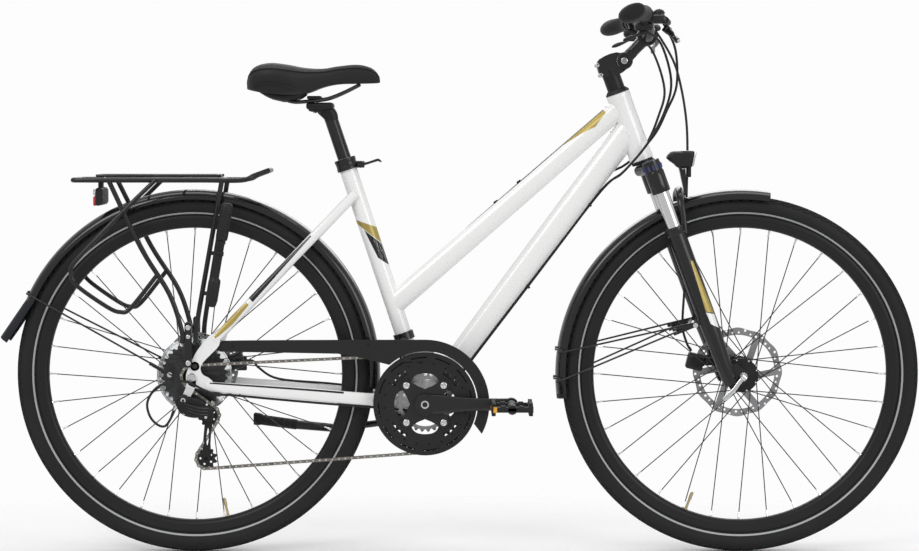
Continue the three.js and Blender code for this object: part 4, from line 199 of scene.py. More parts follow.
class Piece:
    """Surfaces collected in millimetres, made into one object with its materials."""

    def __init__(self, name):
        self.name, self.points, self.faces, self.slots, self.paints = name, [], [], [], []

    def add(self, points, faces, paint):
        if paint not in self.paints:
            self.paints.append(paint)
        base = len(self.points)
        self.points.extend(points)
        self.faces.extend([tuple(base + i for i in face) for face in faces])
        self.slots.extend([self.paints.index(paint)] * len(faces))

    def rings(self, rows, paint, around=True, caps=True, loop=False):
        """Skin over rows of points; each row goes round when around is set."""
        width = len(rows[0])
        faces = []
        for r in range(len(rows) - (0 if loop else 1)):
            low, high = r * width, ((r + 1) % len(rows)) * width
            for i in range(width if around else width - 1):
                j = (i + 1) % width
                faces.append((low + i, low + j, high + j, high + i))
        if caps and not loop:
            faces += [tuple(range(width)), tuple(range((len(rows) - 1) * width, len(rows) * width))]
        self.add([p for row in rows for p in row], faces, paint)

    def tube(self, points, radius, paint, sides=14, loop=False, radii=None):
        points = [Vector(p) for p in points]
        side, rows = None, []
        for i, at in enumerate(points):
            along = heading(points, i, loop)
            if side is None:
                side = along.cross(Y if abs(along.y) < 0.9 else Z)
            side = (side - along * side.dot(along)).normalized()
            up = along.cross(side)
            r = radii[i] if radii else radius
            rows.append([at + side * a * r + up * b * r for a, b in circle(1, sides)])
        self.rings(rows, paint, loop=loop)

    def loft(self, stations, paint, sides, power, steps):
        """Oval member: stations are (place, depth in the wheels' plane, sideways width)."""
        places = smooth([Vector(s[0]) for s in stations], steps)
        sizes = smooth([vec(s[1], s[2], 0) for s in stations], steps)
        rows = []
        for i, (at, size) in enumerate(zip(places, sizes)):
            up = Y.cross(heading(places, i)).normalized()
            rows.append([at + up * size.x / 2 * a + Y * size.y / 2 * b for a, b in squared(sides, power)])
        self.rings(rows, paint)

    def sweep(self, path, across, sizes, paint, power):
        """Bar of rounded section: sizes are (half width along across, half depth) at each point."""
        rows = []
        for i, (at, (wide, deep)) in enumerate(zip(path, sizes)):
            other = heading(path, i).cross(across).normalized()
            rows.append([at + across * wide * a + other * deep * b for a, b in squared(20, power)])
        self.rings(rows, paint)

    def lathe(self, profile, paint, centre=(0, 0, 0), axis=Y, sides=96, loop=False, caps=True):
        """Profile of (radius, distance along the axis), turned round the axis."""
        centre, axis = Vector(centre), Vector(axis).normalized()
        first = axis.cross(Z if abs(axis.z) < 0.9 else vec(1, 0, 0)).normalized()
        second = axis.cross(first)
        rows = [[centre + axis * t + first * a * r + second * b * r for a, b in circle(1, sides)]
                for r, t in profile]
        self.rings(rows, paint, loop=loop, caps=caps)

    def plate(self, outline, low, high, paint, holes=(), centre=(0, 0)):
        """Flat plate in the wheels' plane, from low to high across it."""
        loops = [[vec(x, z, 0) for x, z in loop] for loop in (outline, *holes)]
        caps, flat = tessellate_polygon(loops), [p for loop in loops for p in loop]
        count, start = len(flat), 0
        faces = [tuple(f) for f in caps] + [tuple(count + i for i in reversed(f)) for f in caps]
        for loop in loops:
            for i in range(len(loop)):
                a, b = start + i, start + (i + 1) % len(loop)
                faces.append((a, b, count + b, count + a))
            start += len(loop)
        self.add([vec(centre[0] + p.x, y, centre[1] + p.y) for y in (low, high) for p in flat], faces, paint)

    def slab(self, size, at, paint, lean=0.0, edge=1.5, turn=None):
        """Block with rounded edges, leaning in the wheels' plane."""
        form = bmesh.new()
        bmesh.ops.create_cube(form, size=1)
        for v in form.verts:
            v.co = vec(v.co.x * size[0], v.co.y * size[1], v.co.z * size[2])
        bmesh.ops.bevel(form, geom=form.edges[:], offset=min(edge, min(size) * 0.45), segments=3,
                        affect="EDGES", profile=0.5)
        spin = turn or Matrix.Rotation(lean, 3, "Y")
        self.add([spin @ v.co + Vector(at) for v in form.verts],
                 [tuple(v.index for v in f.verts) for f in form.faces], paint)
        form.free()

    def bolt(self, at, radius, height, paint, axis=Y):
        """Socket-head screw."""
        r, h = radius, height
        self.lathe([(POLE, 0), (r, 0), (r, h * 0.8), (r * 0.88, h), (r * 0.5, h), (r * 0.45, h * 0.4),
                    (POLE, h * 0.4)], paint, at, axis, 18)

    def finish(self, body, *nodes, bevel=0.0, angle=38, bend=None):
        """Object of the piece; when bend is set, its transform is baked in and it is not attached to the body,
        and the value of bend is not used.
        """
        mesh = bpy.data.meshes.new(self.name)
        mesh.from_pydata([Vector(p) * MM for p in self.points], [], self.faces)
        for paint in self.paints:
            mesh.materials.append(paint)
        mesh.polygons.foreach_set("material_index", self.slots)
        form = bmesh.new()
        form.from_mesh(mesh)
        bmesh.ops.remove_doubles(form, verts=form.verts, dist=1e-7)
        bmesh.ops.recalc_face_normals(form, faces=form.faces)
        form.to_mesh(mesh)
        form.free()
        mesh.shade_smooth()
        mesh.set_sharp_from_angle(angle=radians(angle))
        piece = bpy.data.objects.new(self.name, mesh)
        bpy.context.scene.collection.objects.link(piece)
        if bevel:
            soften = piece.modifiers.new("edges", "BEVEL")
            soften.width, soften.segments, soften.limit_method = bevel * MM, 2, "ANGLE"
            soften.angle_limit = radians(50)
            soften.harden_normals = True
        if nodes:
            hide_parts(*nodes)
        if bend:
            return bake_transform(piece)
        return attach(piece, body)


# Main places of the bicycle
REAR, FRONT, BRACKET = vec(-527, 0, 356), vec(560, 0, 356), vec(-68, 0, 303)
HEAD_UP, HEAD_AHEAD = vec(-0.34366, 0, 0.93909), vec(0.93909, 0, 0.34366)
HEAD, HEAD_LENGTH = vec(362.643, 0, 782.982), 140
SEAT_UP = vec(-0.31565, 0, 0.94888)
SEAT_TOP, POST_TOP = BRACKET + SEAT_UP * 509, BRACKET + SEAT_UP * 603
PIVOT = vec(325.932, 0, 979.324)
BAR = PIVOT + vec(45, 0, 48)
CHAIN_Y, PITCH = -59, 12.7


def on_head(ahead, side, up):
    return HEAD + HEAD_AHEAD * ahead + Y * side + HEAD_UP * up


def pitch_radius(teeth):
    return PITCH / 2 / sin(pi / teeth)


def toothed(teeth, valley=-3.6, flank=-2.6):
    """Outline of a wheel of the shared pitch with rounded teeth."""
    tooth = ((0, valley), (0.16, flank), (0.3, 0.4), (0.42, 1.6), (0.58, 1.6), (0.7, 0.4), (0.84, flank))
    return [polar(pitch_radius(teeth) + rise, tau * (i + share) / teeth)
            for i in range(teeth) for share, rise in tooth]


# Wheels
SPOKES = 32
CASING = [(309, 9.3), (315, 9.5), (318.2, 12), (320.6, 14.9), (323.8, 18), (328, 21.2), (333, 23),
          (338, 22.8), (343, 20.7), (347.4, 17), (350.4, 12.5), (352.5, 7), (353.2, 0)]


def casing_radius(y):
    rows = [p for p in CASING if p[0] >= 333]
    for (r0, y0), (r1, y1) in zip(rows, rows[1:]):
        if y1 <= abs(y) <= y0:
            return r0 + (r1 - r0) * (y0 - abs(y)) / (y0 - y1)
    return CASING[-1][0]


def make_tyre(name, body, centre):
    piece = Piece(name + "_casing")
    half = smooth([vec(r, y, 0) for r, y in CASING], 2)
    first, last = [next(i for i, p in enumerate(half) if p.x >= r) for r in (320.5, 323.7)]
    for side in (1, -1):
        rows = [(p.x, p.y * side) for p in half]
        for run, paint in ((rows[:first + 1], casing), (rows[first:last + 1], stripe), (rows[last:], casing)):
            piece.lathe(run, paint, centre, sides=144, caps=False)
    count = 108
    step = tau / count
    knobs = [(0.7, 6.6, 0, 0.86), (7.6, 13.4, 0.5, 0.78), (14.4, 18.6, 0, 0.62)]
    places = [(i, *knob, side) for i in range(count) for knob in knobs for side in (1, -1)]
    for i, low, high, offset, fill, side in places:
        turn = (i + offset + (0.5 if side < 0 else 0)) * step
        corners = [centre + outward(turn + (end * fill / 2 + skew) * step) * (casing_radius(y) + lift)
                   + Y * y * side
                   for y, skew in ((low, -0.16), (high, 0.16)) for end in (-1, 1) for lift in (-0.4, 2.5)]
        piece.add(corners, [(1, 3, 7, 5), (0, 1, 5, 4), (2, 6, 7, 3), (0, 2, 3, 1), (4, 5, 7, 6)], tread)
    piece.finish(body, name + "_tyre")


def make_rim(name, body, centre, valve):
    piece = Piece(name + "_rim_ring")
    half = [(312, 9.9), (316.9, 10.2), (317, 12), (316, 12.5), (307, 12.4), (305.8, 12.1), (304.6, 12.4),
            (299, 11.6), (295, 9), (292.8, 5), (292, 0)]
    well = [(306, -9), (303, -5), (303, 5), (306, 9)]
    piece.lathe(mirrored(half) + well, satin, centre, sides=144, loop=True)
    nipple = [(2.3, 0), (2.3, 4), (1.7, 5), (1.7, 13), (1.2, 14)]
    for i in range(SPOKES):
        out = outward(tau * i / SPOKES)
        piece.lathe(nipple, silver, centre + out * 292.2 + Y * (-3 if i % 2 else 3), -out, 8)
    stem = [(4, 0), (4, 2), (2.6, 2.5), (2.6, 22), (3.4, 22.5), (3.4, 36), (1, 38)]
    piece.lathe(stem, brass, centre + outward(valve) * 293, -outward(valve), 16)
    piece.finish(body, name + "_rim")


def make_spokes(piece, centre, radius, left_y, right_y):
    """Each spoke leads or trails its nipple by 60 degrees at the hub."""
    for i in range(SPOKES):
        left, leading = i % 2 == 0, 1 if i % 4 < 2 else -1
        angle = tau * i / SPOKES
        y = (left_y if left else right_y) + leading * 2.4
        start = centre + outward(angle + leading * radians(60)) * radius + Y * y
        end = centre + outward(angle) * 284 + Y * (3 if left else -3)
        piece.tube([start, end], 1.05, wire_steel, 8)
        piece.lathe([(POLE, -1.4), (1.6, -0.9), (1.9, 0), (1.6, 0.9), (POLE, 1.4)], silver, start, Y, 8)


def make_rotor(name, body, centre, y, radius, arms=6):
    piece = Piece(name + "_rotor_disc")
    outline = [polar(radius - 1.3 + 1.3 * cos(a * 12), a) for a in [tau * i / 144 for i in range(144)]]
    track, inner, half = radius - 15, 29, pi / arms - 0.09
    windows = []
    for i in range(arms):
        middle = tau * (i + 0.5) / arms
        outer = [polar(track, middle - half + 2 * half * k / 8) for k in range(9)]
        windows.append(outer + [polar(inner, middle + half * 0.3 - 0.25),
                                polar(inner, middle - half * 0.9 - 0.2)])
    small = [circle(2.6 if i % 2 else 2.1, 8, polar(track + (5 if i % 3 else 10), tau * (i + 0.3) / 42))
             for i in range(42)]
    piece.plate(outline, y - 0.9, y + 0.9, steel, [circle(13.5, 32), *windows, *small], centre.xz)
    hub = [(13.5, -0.8), (23, -0.8), (23, 1), (20, 2.2), (13.5, 2.2)]
    piece.lathe(hub, satin, centre + Y * (y + 0.9), Y, 48, True)
    for i in range(arms):
        piece.bolt(centre + outward(tau * i / arms) * 18.5 + Y * (y + 2), 2.6, 1.8, silver)
    piece.finish(body, name + "_rotor")


def make_front_hub():
    piece = Piece("front_hub_body")
    half = [(6, 49.6), (9, 49.6), (12, 48), (12, 41), (22, 40), (22, 33), (26, 32.4), (33.4, 32), (34, 31),
            (34, 27), (33, 25.8), (31, 25.2), (30.6, 22), (31, 14), (31, 13), (30.2, 12.4), (30.2, 4)]
    piece.lathe(mirrored(half), satin, FRONT, sides=72, loop=True)
    make_spokes(piece, FRONT, 31.6, 29, -29)
    piece.slab((13, 13, 17), FRONT + vec(-13, -43.2, 15), plastic, 0.7, 2)
    piece.finish("front_wheel", "front_hub")


def make_rear_hub():
    piece = Piece("rear_hub_body")
    profile = [(6, -67.1), (10, -67.1), (10, -61), (15.4, -60.6), (15.4, -21), (28, -20.6), (29, -19.6),
               (29, -16.4), (27.6, -15.6), (20, -14), (17, -9), (16.4, 10), (17, 26), (21, 30.4), (28, 31),
               (29, 32), (29, 36.6), (27.5, 37.4), (22, 37.6), (22, 50.7), (10, 51), (10, 67.1), (6, 67.1)]
    piece.lathe(profile, satin, REAR, sides=72, loop=True)
    make_spokes(piece, REAR, 26.6, 34, -18.2)
    piece.finish("rear_wheel", "rear_hub")


def make_cassette():
    piece = Piece("cassette_stack")
    for i, teeth in enumerate((11, 13, 15, 18, 21, 24, 28, 32)):
        y, radius = CHAIN_Y + 4.8 * i, pitch_radius(teeth)
        holes = [circle(radius * 0.14, 12, polar(radius * 0.66, tau * (k + 0.5) / 6)) for k in range(6)]
        openings = [circle(16, 48), *(holes if teeth > 17 else ())]
        piece.plate(toothed(teeth), y - 0.9, y + 0.9, dark_steel, openings, REAR.xz)
    guard = [(16, -24.1), (73.6, -23.7), (75, -23.3), (73.6, -23.0), (16, -23.1)]
    for ring, paint, sides in (([(15.9, -59.9), (19, -59.9), (19, -24.5), (15.9, -24.5)], satin, 48),
                               (guard, guard_film, 96),
                               ([(71.8, -24.2), (73.2, -24.2), (73.2, -23.6), (71.8, -23.6)], silver, 96)):
        piece.lathe(ring, paint, REAR, sides=sides, loop=True)
    for i in range(8):
        at = REAR + outward(i * pi / 4) * 62 - Y * 24.2
        piece.lathe([(2.4, -0.5), (2.8, -0.5), (2.8, 0), (2.4, 0)], silver, at, Y, 12, True)
    piece.finish("rear_wheel", "cassette")


make_tyre("front", "front_wheel", FRONT)
make_tyre("rear", "rear_wheel", REAR)
make_rim("front", "front_wheel", FRONT, radians(-111.4))
make_rim("rear", "rear_wheel", REAR, radians(-77.5))
make_front_hub()
make_rear_hub()
make_rotor("front", "front_wheel", FRONT, 41, 90)
make_rotor("rear", "rear_wheel", REAR, 52, 80)
make_cassette()

# Frame
DOWN_ROOT, TOP_ROOT, TOP_END = HEAD + HEAD_UP * 67.9, HEAD + HEAD_UP * 114.8, BRACKET + SEAT_UP * 201.8
DOWN = [(DOWN_ROOT, 53, 44), (DOWN_ROOT.lerp(BRACKET, 0.5), 49, 44), (BRACKET, 42, 46)]
TOP = [(TOP_ROOT, 39, 37), (TOP_ROOT.lerp(TOP_END, 0.5), 41, 35), (TOP_END, 43, 33)]
STAND_PIVOT, STAND_AXIS = vec(-115, 50, 262), vec(0, -0.9003, -0.4352)


def stay_points(side):
    seat = [(vec(-205.935, 17 * side, 717.649), 19, 15), (vec(-281.909, 41 * side, 638.5), 19, 14.5),
            (vec(-385, 58 * side, 531), 18, 12), (vec(-482.12, 70.75 * side, 429.92), 17, 10)]
    chain = [(BRACKET + Y * 26 * side, 25, 16), (vec(-165, 37.5 * side, 308), 25, 16),
             (vec(-307, 52 * side, 321), 24, 14), (vec(-499.3, 70.75 * side, 338.1), 19, 11)]
    return seat, chain


def make_frame():
    piece = Piece("frame_tubes")
    lip = [(15.8, 0), (23.2, 0), (24, 0.9), (24, 10), (23.3, 13), (23.3, 127), (24, 130), (24, 139),
           (23.2, 140), (15.8, 140)]
    piece.lathe(lip, white, HEAD, HEAD_UP, 64)
    piece.tube([BRACKET, BRACKET + SEAT_UP * 250, SEAT_TOP], 16.5, white, 48, radii=[16.5, 17, 17.5])
    piece.loft(DOWN, white, 56, 2.5, 10)
    piece.loft(TOP, white, 56, 2.5, 10)
    shell = [(18.2, -36.5), (23, -36.5), (24, -35.6), (24, 35.6), (23, 36.5), (18.2, 36.5)]
    piece.lathe(shell, white, BRACKET, sides=64)
    corners = [(38.3, 85.1), (47, 83.5), (55.4, 76.2), (53, 62), (40, 48), (27, 35), (19, 25), (17, 15),
               (22, 5), (33, -1), (41, -9), (41, -18), (36, -24), (28, -26), (8, -21), (-6, -15), (-10.5, -7),
               (-11.5, 2.2), (-9, 13), (-4, 25), (2, 37), (9, 50), (21, 67)]
    dropout = [(p.x, p.y) for p in smooth([vec(x, z, 0) for x, z in corners], 3, closed=True)]
    for side in (1, -1):
        seat, chain = stay_points(side)
        piece.loft(seat, white, 32, 2.2, 8)
        piece.loft(chain, white, 32, 2.4, 8)
        piece.plate(dropout, *sorted((side * 67.5, side * 73.5)), white, centre=REAR.xz)
    eyelet = [(9, -74.2), (5, -74.2), (4.6, -73.5), (POLE, -73.5)]
    piece.lathe(eyelet, dark_steel, REAR + vec(6, 0, 22), Y, 24)
    hook = [(-24, -48), (-21, -51), (-16, -52), (-10, -50.5), (-7.6, -46), (4, -26), (8, -14), (8, 0),
            (-8, 0), (-12, -20)]
    piece.plate(hook, -73.5, -67.5, white, centre=REAR.xz)
    for x, y, z, radius in ((-205.935, 17, 717.649, 6), (-281.909, 41, 638.5, 5.9), (-135.9, 26.2, 306.5, 6)):
        piece.tube([(x, y, z), (x, -y, z)], radius, white, 20)
    up = (TOP_ROOT - TOP_END).normalized().cross(Y)
    for share in (0.478, 0.579):
        foot = TOP_END.lerp(TOP_ROOT, share)
        piece.lathe([(5, 0), (5, 22.6), (4, 23.2), (POLE, 23.2)], satin, foot, up, 20)
        piece.bolt(foot + up * 21.5, 3.4, 2.5, silver, up)
    piece.slab((44, 60, 9), BRACKET + vec(-55, 0, -14), white, 0, 2)
    piece.slab((26, 24, 44), (-115, 25.1, 267), black, 0, 3)
    piece.lathe([(10, 0), (10, 20)], black, STAND_PIVOT + STAND_AXIS, STAND_AXIS, 32)
    for foot, far, r in ((DOWN_ROOT, BRACKET, 24.4), (TOP_ROOT, TOP_END, 19.6)):
        way = (far - foot).normalized()
        up, slope = way.cross(Y), max(0.2, abs(way.dot(HEAD_AHEAD)))
        weld = []
        for i in range(40):
            a = tau * i / 40
            side = cos(a) * r * 0.9
            reach = sqrt(max(24.2 ** 2 - side ** 2, 0)) / slope * 0.96 + abs(sin(a)) * 2
            weld.append(foot + Y * side + up * sin(a) * r * 1.08 + way * reach)
        piece.tube(weld, 1.6, white, 8, loop=True)
    piece.finish("frame", "main_frame")


def shell_strip(piece, stations, start, end, low, high, paint, slant=(0, 0), lift=0.35, power=2.5,
                taper=(1, 1)):
    """Thin coat on part of a member, from start to end along it and low to high degrees round it."""
    rows, count = [], 24
    places = smooth([Vector(s[0]) for s in stations], 10)
    sizes = smooth([vec(s[1], s[2], 0) for s in stations], 10)
    up = Y.cross(places[-1] - places[0]).normalized()
    middle = (low + high) / 2
    for i in range(count + 1):
        share = i / count
        half, lean = (high - low) / 2 * mix(taper, share), mix(slant, share)
        row = []
        for k in range(17):
            u, v = rounded(radians(middle + half * (k / 8 - 1)), power)
            along = min(max(mix((start, end), share) + lean * u, 0), 1)
            at, size = between(places, along), between(sizes, along)
            row.append(at + up * (size.x / 2 + lift) * u + Y * (size.y / 2 + lift) * v)
        rows.append(row)
    piece.rings(rows, paint, around=False, caps=False)


def facing(side, low, high):
    """Band on the outer face of a side's member, given as the right side's degrees."""
    return (360 - high, 360 - low) if side > 0 else (low, high)


def make_coats():
    """Gold and black bands of the paintwork, without any lettering."""
    piece = Piece("paint_bands")
    seat = [(BRACKET, 33, 33), (BRACKET + SEAT_UP * 250, 33.4, 33.4), (SEAT_TOP, 35, 35)]
    for start, end, taper in ((0.085, 0.15, (0.72, 1)), (0.15, 0.26, (1, 0.35))):
        shell_strip(piece, TOP, start, end, 278, 442, gold, taper=taper)
    for start, end, taper in ((0.085, 0.4, (1, 1)), (0.4, 0.64, (1, 0.3))):
        shell_strip(piece, TOP, start, end, 336, 384, black, lift=0.6, taper=taper)
    for low, high in ((180, 360), (0, 180)):
        shell_strip(piece, seat, 0.679, 0.7135, low, high, gold, (-0.043, -0.022), power=2.0)
    shell_strip(piece, seat, 0.596, 0.676, 245, 475, black, (-0.039, -0.043), power=2.0, taper=(0.74, 1))
    for side in (1, -1):
        stays, chain = stay_points(side)
        for start, end, low, high, paint, taper in ((0.36, 0.74, 256, 346, black, (0.2, 1)),
                                                    (0.76, 0.86, 244, 336, gold, (0.5, 1)),
                                                    (0.86, 0.985, 244, 336, gold, (1, 0.35))):
            shell_strip(piece, stays, start, end, *facing(side, low, high), paint, power=2.2, taper=taper)
        shell_strip(piece, chain, 0.5, 0.98, *facing(side, 304, 332), black, power=2.4)
    piece.finish("frame")


make_frame()
make_coats()


def make_bracket():
    piece = Piece("bracket_cups")
    half = [(9.6, 39.6), (19.5, 39.6), (21, 39), (21, 37), (18, 36.8), (18, 20)]
    piece.lathe(mirrored(half), steel, BRACKET, sides=48)
    piece.finish("frame", "bottom_bracket")


def crank_arm(piece, side, reach, paint):
    y = side * 76.5
    stations = [(BRACKET + vec(reach * share, y, 0), depth, width) for share, depth, width in
                ((0, 40, 12.8), (0.16, 38, 13), (0.5, 27, 12.4), (0.86, 24, 12), (1, 25, 12))]
    piece.loft(stations, paint, 32, 3.2, 6)
    face = puck(21, 6.5, 0.9)
    piece.lathe(face, paint, BRACKET + Y * y, Y, 56)
    piece.lathe([(r * 0.64, t) for r, t in face], paint, BRACKET + vec(reach, y, 0), Y, 40)
    cap = [(8.6, 0), (8.6, 0.5), (7.6, 0.9), (5.2, 0.9), (4.6, 0.2), (3.6, 0.2), (3.4, 0), (POLE, 0)]
    piece.lathe(cap, silver, BRACKET + Y * side * 82.2, Y * side, 32)


def make_cranks():
    right = Piece("crank_arm_right")
    crank_arm(right, -1, 170, black)
    star = []
    for i in range(4):
        a = tau * (i + 0.5) / 4
        star += [polar(61, a - 0.15), polar(62, a), polar(61, a + 0.15), polar(50, a + 0.24),
                 polar(38, a + 0.42), polar(30, a + 0.785), polar(38, a + 1.15), polar(50, a + 1.33)]
        at = BRACKET + outward(a) * 52 - Y * 71.2
        cap = [(6.4, 0), (6.4, 1.1), (5.6, 1.6), (3.6, 1.6), (3.2, 0.5), (POLE, 0.5)]
        right.lathe(cap, silver, at, -Y, 28)
    right.plate(star, -71.4, -67.9, black, centre=BRACKET.xz)
    right.finish("crankset", "crank_right", bevel=0.6)
    left = Piece("crank_arm_left")
    crank_arm(left, 1, -170, black)
    left.lathe([(8.5, -67.4), (8.5, 71)], steel, BRACKET, Y, 36)
    left.finish("crankset", "crank_left", bevel=0.6)


def lobes(outer, inner, width=14):
    """Opening that narrows to the four bolts."""
    made = []
    for i in range(120):
        a = tau * i / 120
        off = degrees((a % (pi / 2)) - pi / 4)
        made.append(polar(outer - (outer - inner) * exp(-(off / width) ** 2), a))
    return made


def arc_window(low, high, middle, half):
    steps = [middle - half + half * k / 5 for k in range(11)]
    return [polar(high, a) for a in steps] + [polar(low, a) for a in reversed(steps)]


def make_rings():
    piece = Piece("chainring_set")
    corners = [pi / 4 + pi / 2 * i for i in range(4)]
    spots = [arc_window(64, 79, a, 0.3) for a in corners]
    rings = ((48, satin, 61, 44, spots), (38, dark_steel, 63, 44, ()), (28, steel, 47, 40, ()))
    for i, (teeth, paint, outer, inner, extra) in enumerate(rings):
        y = CHAIN_Y + 8 * i
        piece.plate(toothed(teeth, -3.8, -2.7), y - 1.1, y + 1.1, paint, [lobes(outer, inner), *extra],
                    BRACKET.xz)
    slots = [arc_window(90.6, 93.4, tau * (i + 0.25) / 12, 0.17) for i in range(12)]
    slots += [arc_window(68, 75.4, a, 0.25) for a in corners]
    slots += [circle(1.5, 8, polar(80.6, tau * i / 20 + 0.1)) for i in range(20)]
    piece.plate(circle(101.6, 120), -67.2, -65.2, plastic, [lobes(60.5, 44, 17), *slots], BRACKET.xz)
    for low, high in ((98.4, 102.3), (84.4, 86.2)):
        ring = [(low, -65.2), (low + 0.4, -67.5), (high - 0.5, -67.6), (high, -67), (high, -65.2)]
        piece.lathe(ring, plastic, BRACKET, sides=120, loop=True)
    for i in range(24):
        a = tau * i / 24
        piece.slab((1, 0.6, 3.4), BRACKET + outward(a) * 96.3 - Y * 67.3, plastic, pi / 2 - a, 0.2)
    for a in corners:
        piece.lathe([(5, -67.3), (5, -42)], steel, BRACKET + outward(a) * 52, Y, 20)
    piece.finish("crankset", "chainrings", bevel=0.25)


def make_pedal(side, hand):
    piece = Piece("pedal_" + hand + "_body")
    eye = BRACKET - vec(side * 170, 0, 0)
    middle, inner = eye + Y * side * 132, side * 83.4
    for way in (1, -1):
        piece.slab((9.6, 91, 15), middle + vec(way * 36, 0, 0), plastic, 0, 2.4)
        for k in range(7):
            for up in (1, -1):
                piece.slab((8, 6, 5.6), middle + vec(way * 36, (k - 3) * 13, up * 9.7), plastic, 0, 1.2)
        piece.slab((3, 46, 10), middle + vec(way * 39.6, 0, 0), amber, 0, 1)
        if way < 0:
            piece.slab((7, 1.4, 11), middle + vec(way * 33, side * 45.4, 0), amber, 0, 0.5)
        piece.slab((80, 11, 11), middle + vec(0, way * 39.5, 0), plastic, 0, 2.4)
        for k in (-1, 0, 1):
            piece.slab((10, 9, 3), middle + vec(k * 18, way * 39.5, 6), plastic, 0, 1)
    barrel = [(9, -44), (10, -42), (10, -24), (8.4, -20), (8.4, 18), (10, 24), (10, 40), (8, 45)]
    piece.lathe([(r, t * side) for r, t in barrel], plastic, middle, Y, 32)
    piece.lathe([(5.5, inner), (5.5, inner + side * 6)], steel, eye, Y, 24)
    piece.lathe([(7.6, inner + side * 0.4), (7.6, inner + side * 2.8)], steel, eye, Y, 8)
    piece.finish(hand + "_pedal", "pedal_" + hand)


make_bracket()
make_cranks()
make_rings()
make_pedal(-1, "right")
make_pedal(1, "left")

# Chain: outer and inner links laid along the run round the four toothed wheels
UPPER, LOWER = vec(-495, CHAIN_Y, 279), vec(-501, CHAIN_Y, 194)


def chain_run():
    wheels = [(BRACKET, pitch_radius(48)), (REAR, pitch_radius(11)), (UPPER, -pitch_radius(10)),
              (LOWER, pitch_radius(10))]
    normals = []
    for i, (at, radius) in enumerate(wheels):
        to, far = wheels[(i + 1) % 4]
        dx, dz = to.x - at.x, to.z - at.z
        normals.append(atan2(dz, dx) + acos((far - radius) / hypot(dx, dz)))
    path = []
    for i, (at, radius) in enumerate(wheels):
        arriving, turn = normals[i - 1], 1 if radius > 0 else -1
        sweep = turn * (((normals[i] - arriving) * turn) % tau)
        steps = max(6, int(abs(sweep * radius) / 3))
        for s in range(steps + 1):
            x, z = polar(-radius, arriving + sweep * s / steps, at.xz)
            path.append(vec(x, CHAIN_Y, z))
    return path


def make_chain():
    path = chain_run()
    lengths = [0.0]
    for a, b in zip(path, path[1:] + path[:1]):
        lengths.append(lengths[-1] + (b - a).length)
    count = int(round(lengths[-1] / PITCH / 2)) * 2
    pins, k = [], 0
    for i in range(count):
        want = lengths[-1] * i / count
        while lengths[k + 1] < want:
            k += 1
        share = (want - lengths[k]) / max(1e-6, lengths[k + 1] - lengths[k])
        pins.append(path[k % len(path)].lerp(path[(k + 1) % len(path)], share))
    piece = Piece("chain_links")
    for i, start in enumerate(pins):
        end = pins[(i + 1) % count]
        along = (end - start).normalized()
        up = along.cross(Y)
        half, wide = (end - start).length / 2, 3.9
        shape = []
        for k in range(20):
            c, s = cos(tau * k / 20), sin(tau * k / 20)
            waist = 0.68 + 0.32 * min(1, abs(c) * 1.25)
            shape.append((copysign(half, c) + wide * c, wide * s * waist))
        middle, near = (start + end) / 2, 1.72 if i % 2 else 2.2
        for side in (1, -1):
            piece.rings([[middle + along * a + up * b + Y * y for a, b in shape]
                         for y in (side * near, side * (near + 0.5))], chain_steel)
        piece.lathe([(2.9, -1.6), (2.9, 1.6)], chain_steel, start, Y, 12)
        piece.lathe([(1.7, -2.75), (1.7, 2.75)], silver, start, Y, 10)
    piece.finish("frame", "chain")


make_chain()


# Fork
LEG_Y, LEG_AHEAD, LEG_TOP = 62, 10.5, 144


def fork_point(side, down):
    return on_head(LEG_AHEAD, side * LEG_Y, -down)


def make_fork_upper():
    piece = Piece("fork_crown")
    rows = []
    for i in range(25):
        share = i / 12 - 1
        at = on_head(LEG_AHEAD * min(1, abs(share) * 1.3), share * LEG_Y, -18.8)
        long, tall = 44 - 4 * abs(share), 24 - 3 * abs(share)
        rows.append([at + HEAD_AHEAD * long / 2 * a + HEAD_UP * tall / 2 * b for a, b in squared(28, 2.6)])
    piece.rings(rows, black)
    clamp = [(16, -1), (18.2, -0.6), (19, 1), (19, 41), (18.2, 43), (15, 43.6)]
    for side in (1, -1):
        knob = blue if side < 0 else plastic
        for profile, paint, down, sides in ((clamp, gloss, 28, 48),
                                            ([(15.4, 0), (17.6, 0.6), (17.6, 22)], black, 5, 48),
                                            ([(14.4, 0), (14.4, 128)], chrome, 70, 48),
                                            ([(POLE, 0), (9, 0), (10.4, -0.6), (11, -1.4)], knob, 5.7, 32)):
            piece.lathe(profile, paint, fork_point(side, down), -HEAD_UP, sides)
        for step in range(12):
            angle = tau * step / 12
            around = vec(cos(angle) * HEAD_AHEAD.x, sin(angle), cos(angle) * HEAD_AHEAD.z) * 17.4
            piece.tube([fork_point(side, 14) + around, fork_point(side, 25) + around], 1.8, knob, 8)
    piece.lathe([(14.3, -20), (14.3, 139)], steel, HEAD, HEAD_UP, 32)
    piece.lathe([(16, -0.4), (22, -0.6), (22, -5.4), (20, -7)], satin, HEAD, HEAD_UP, 48)
    piece.finish("steering", "fork_upper")


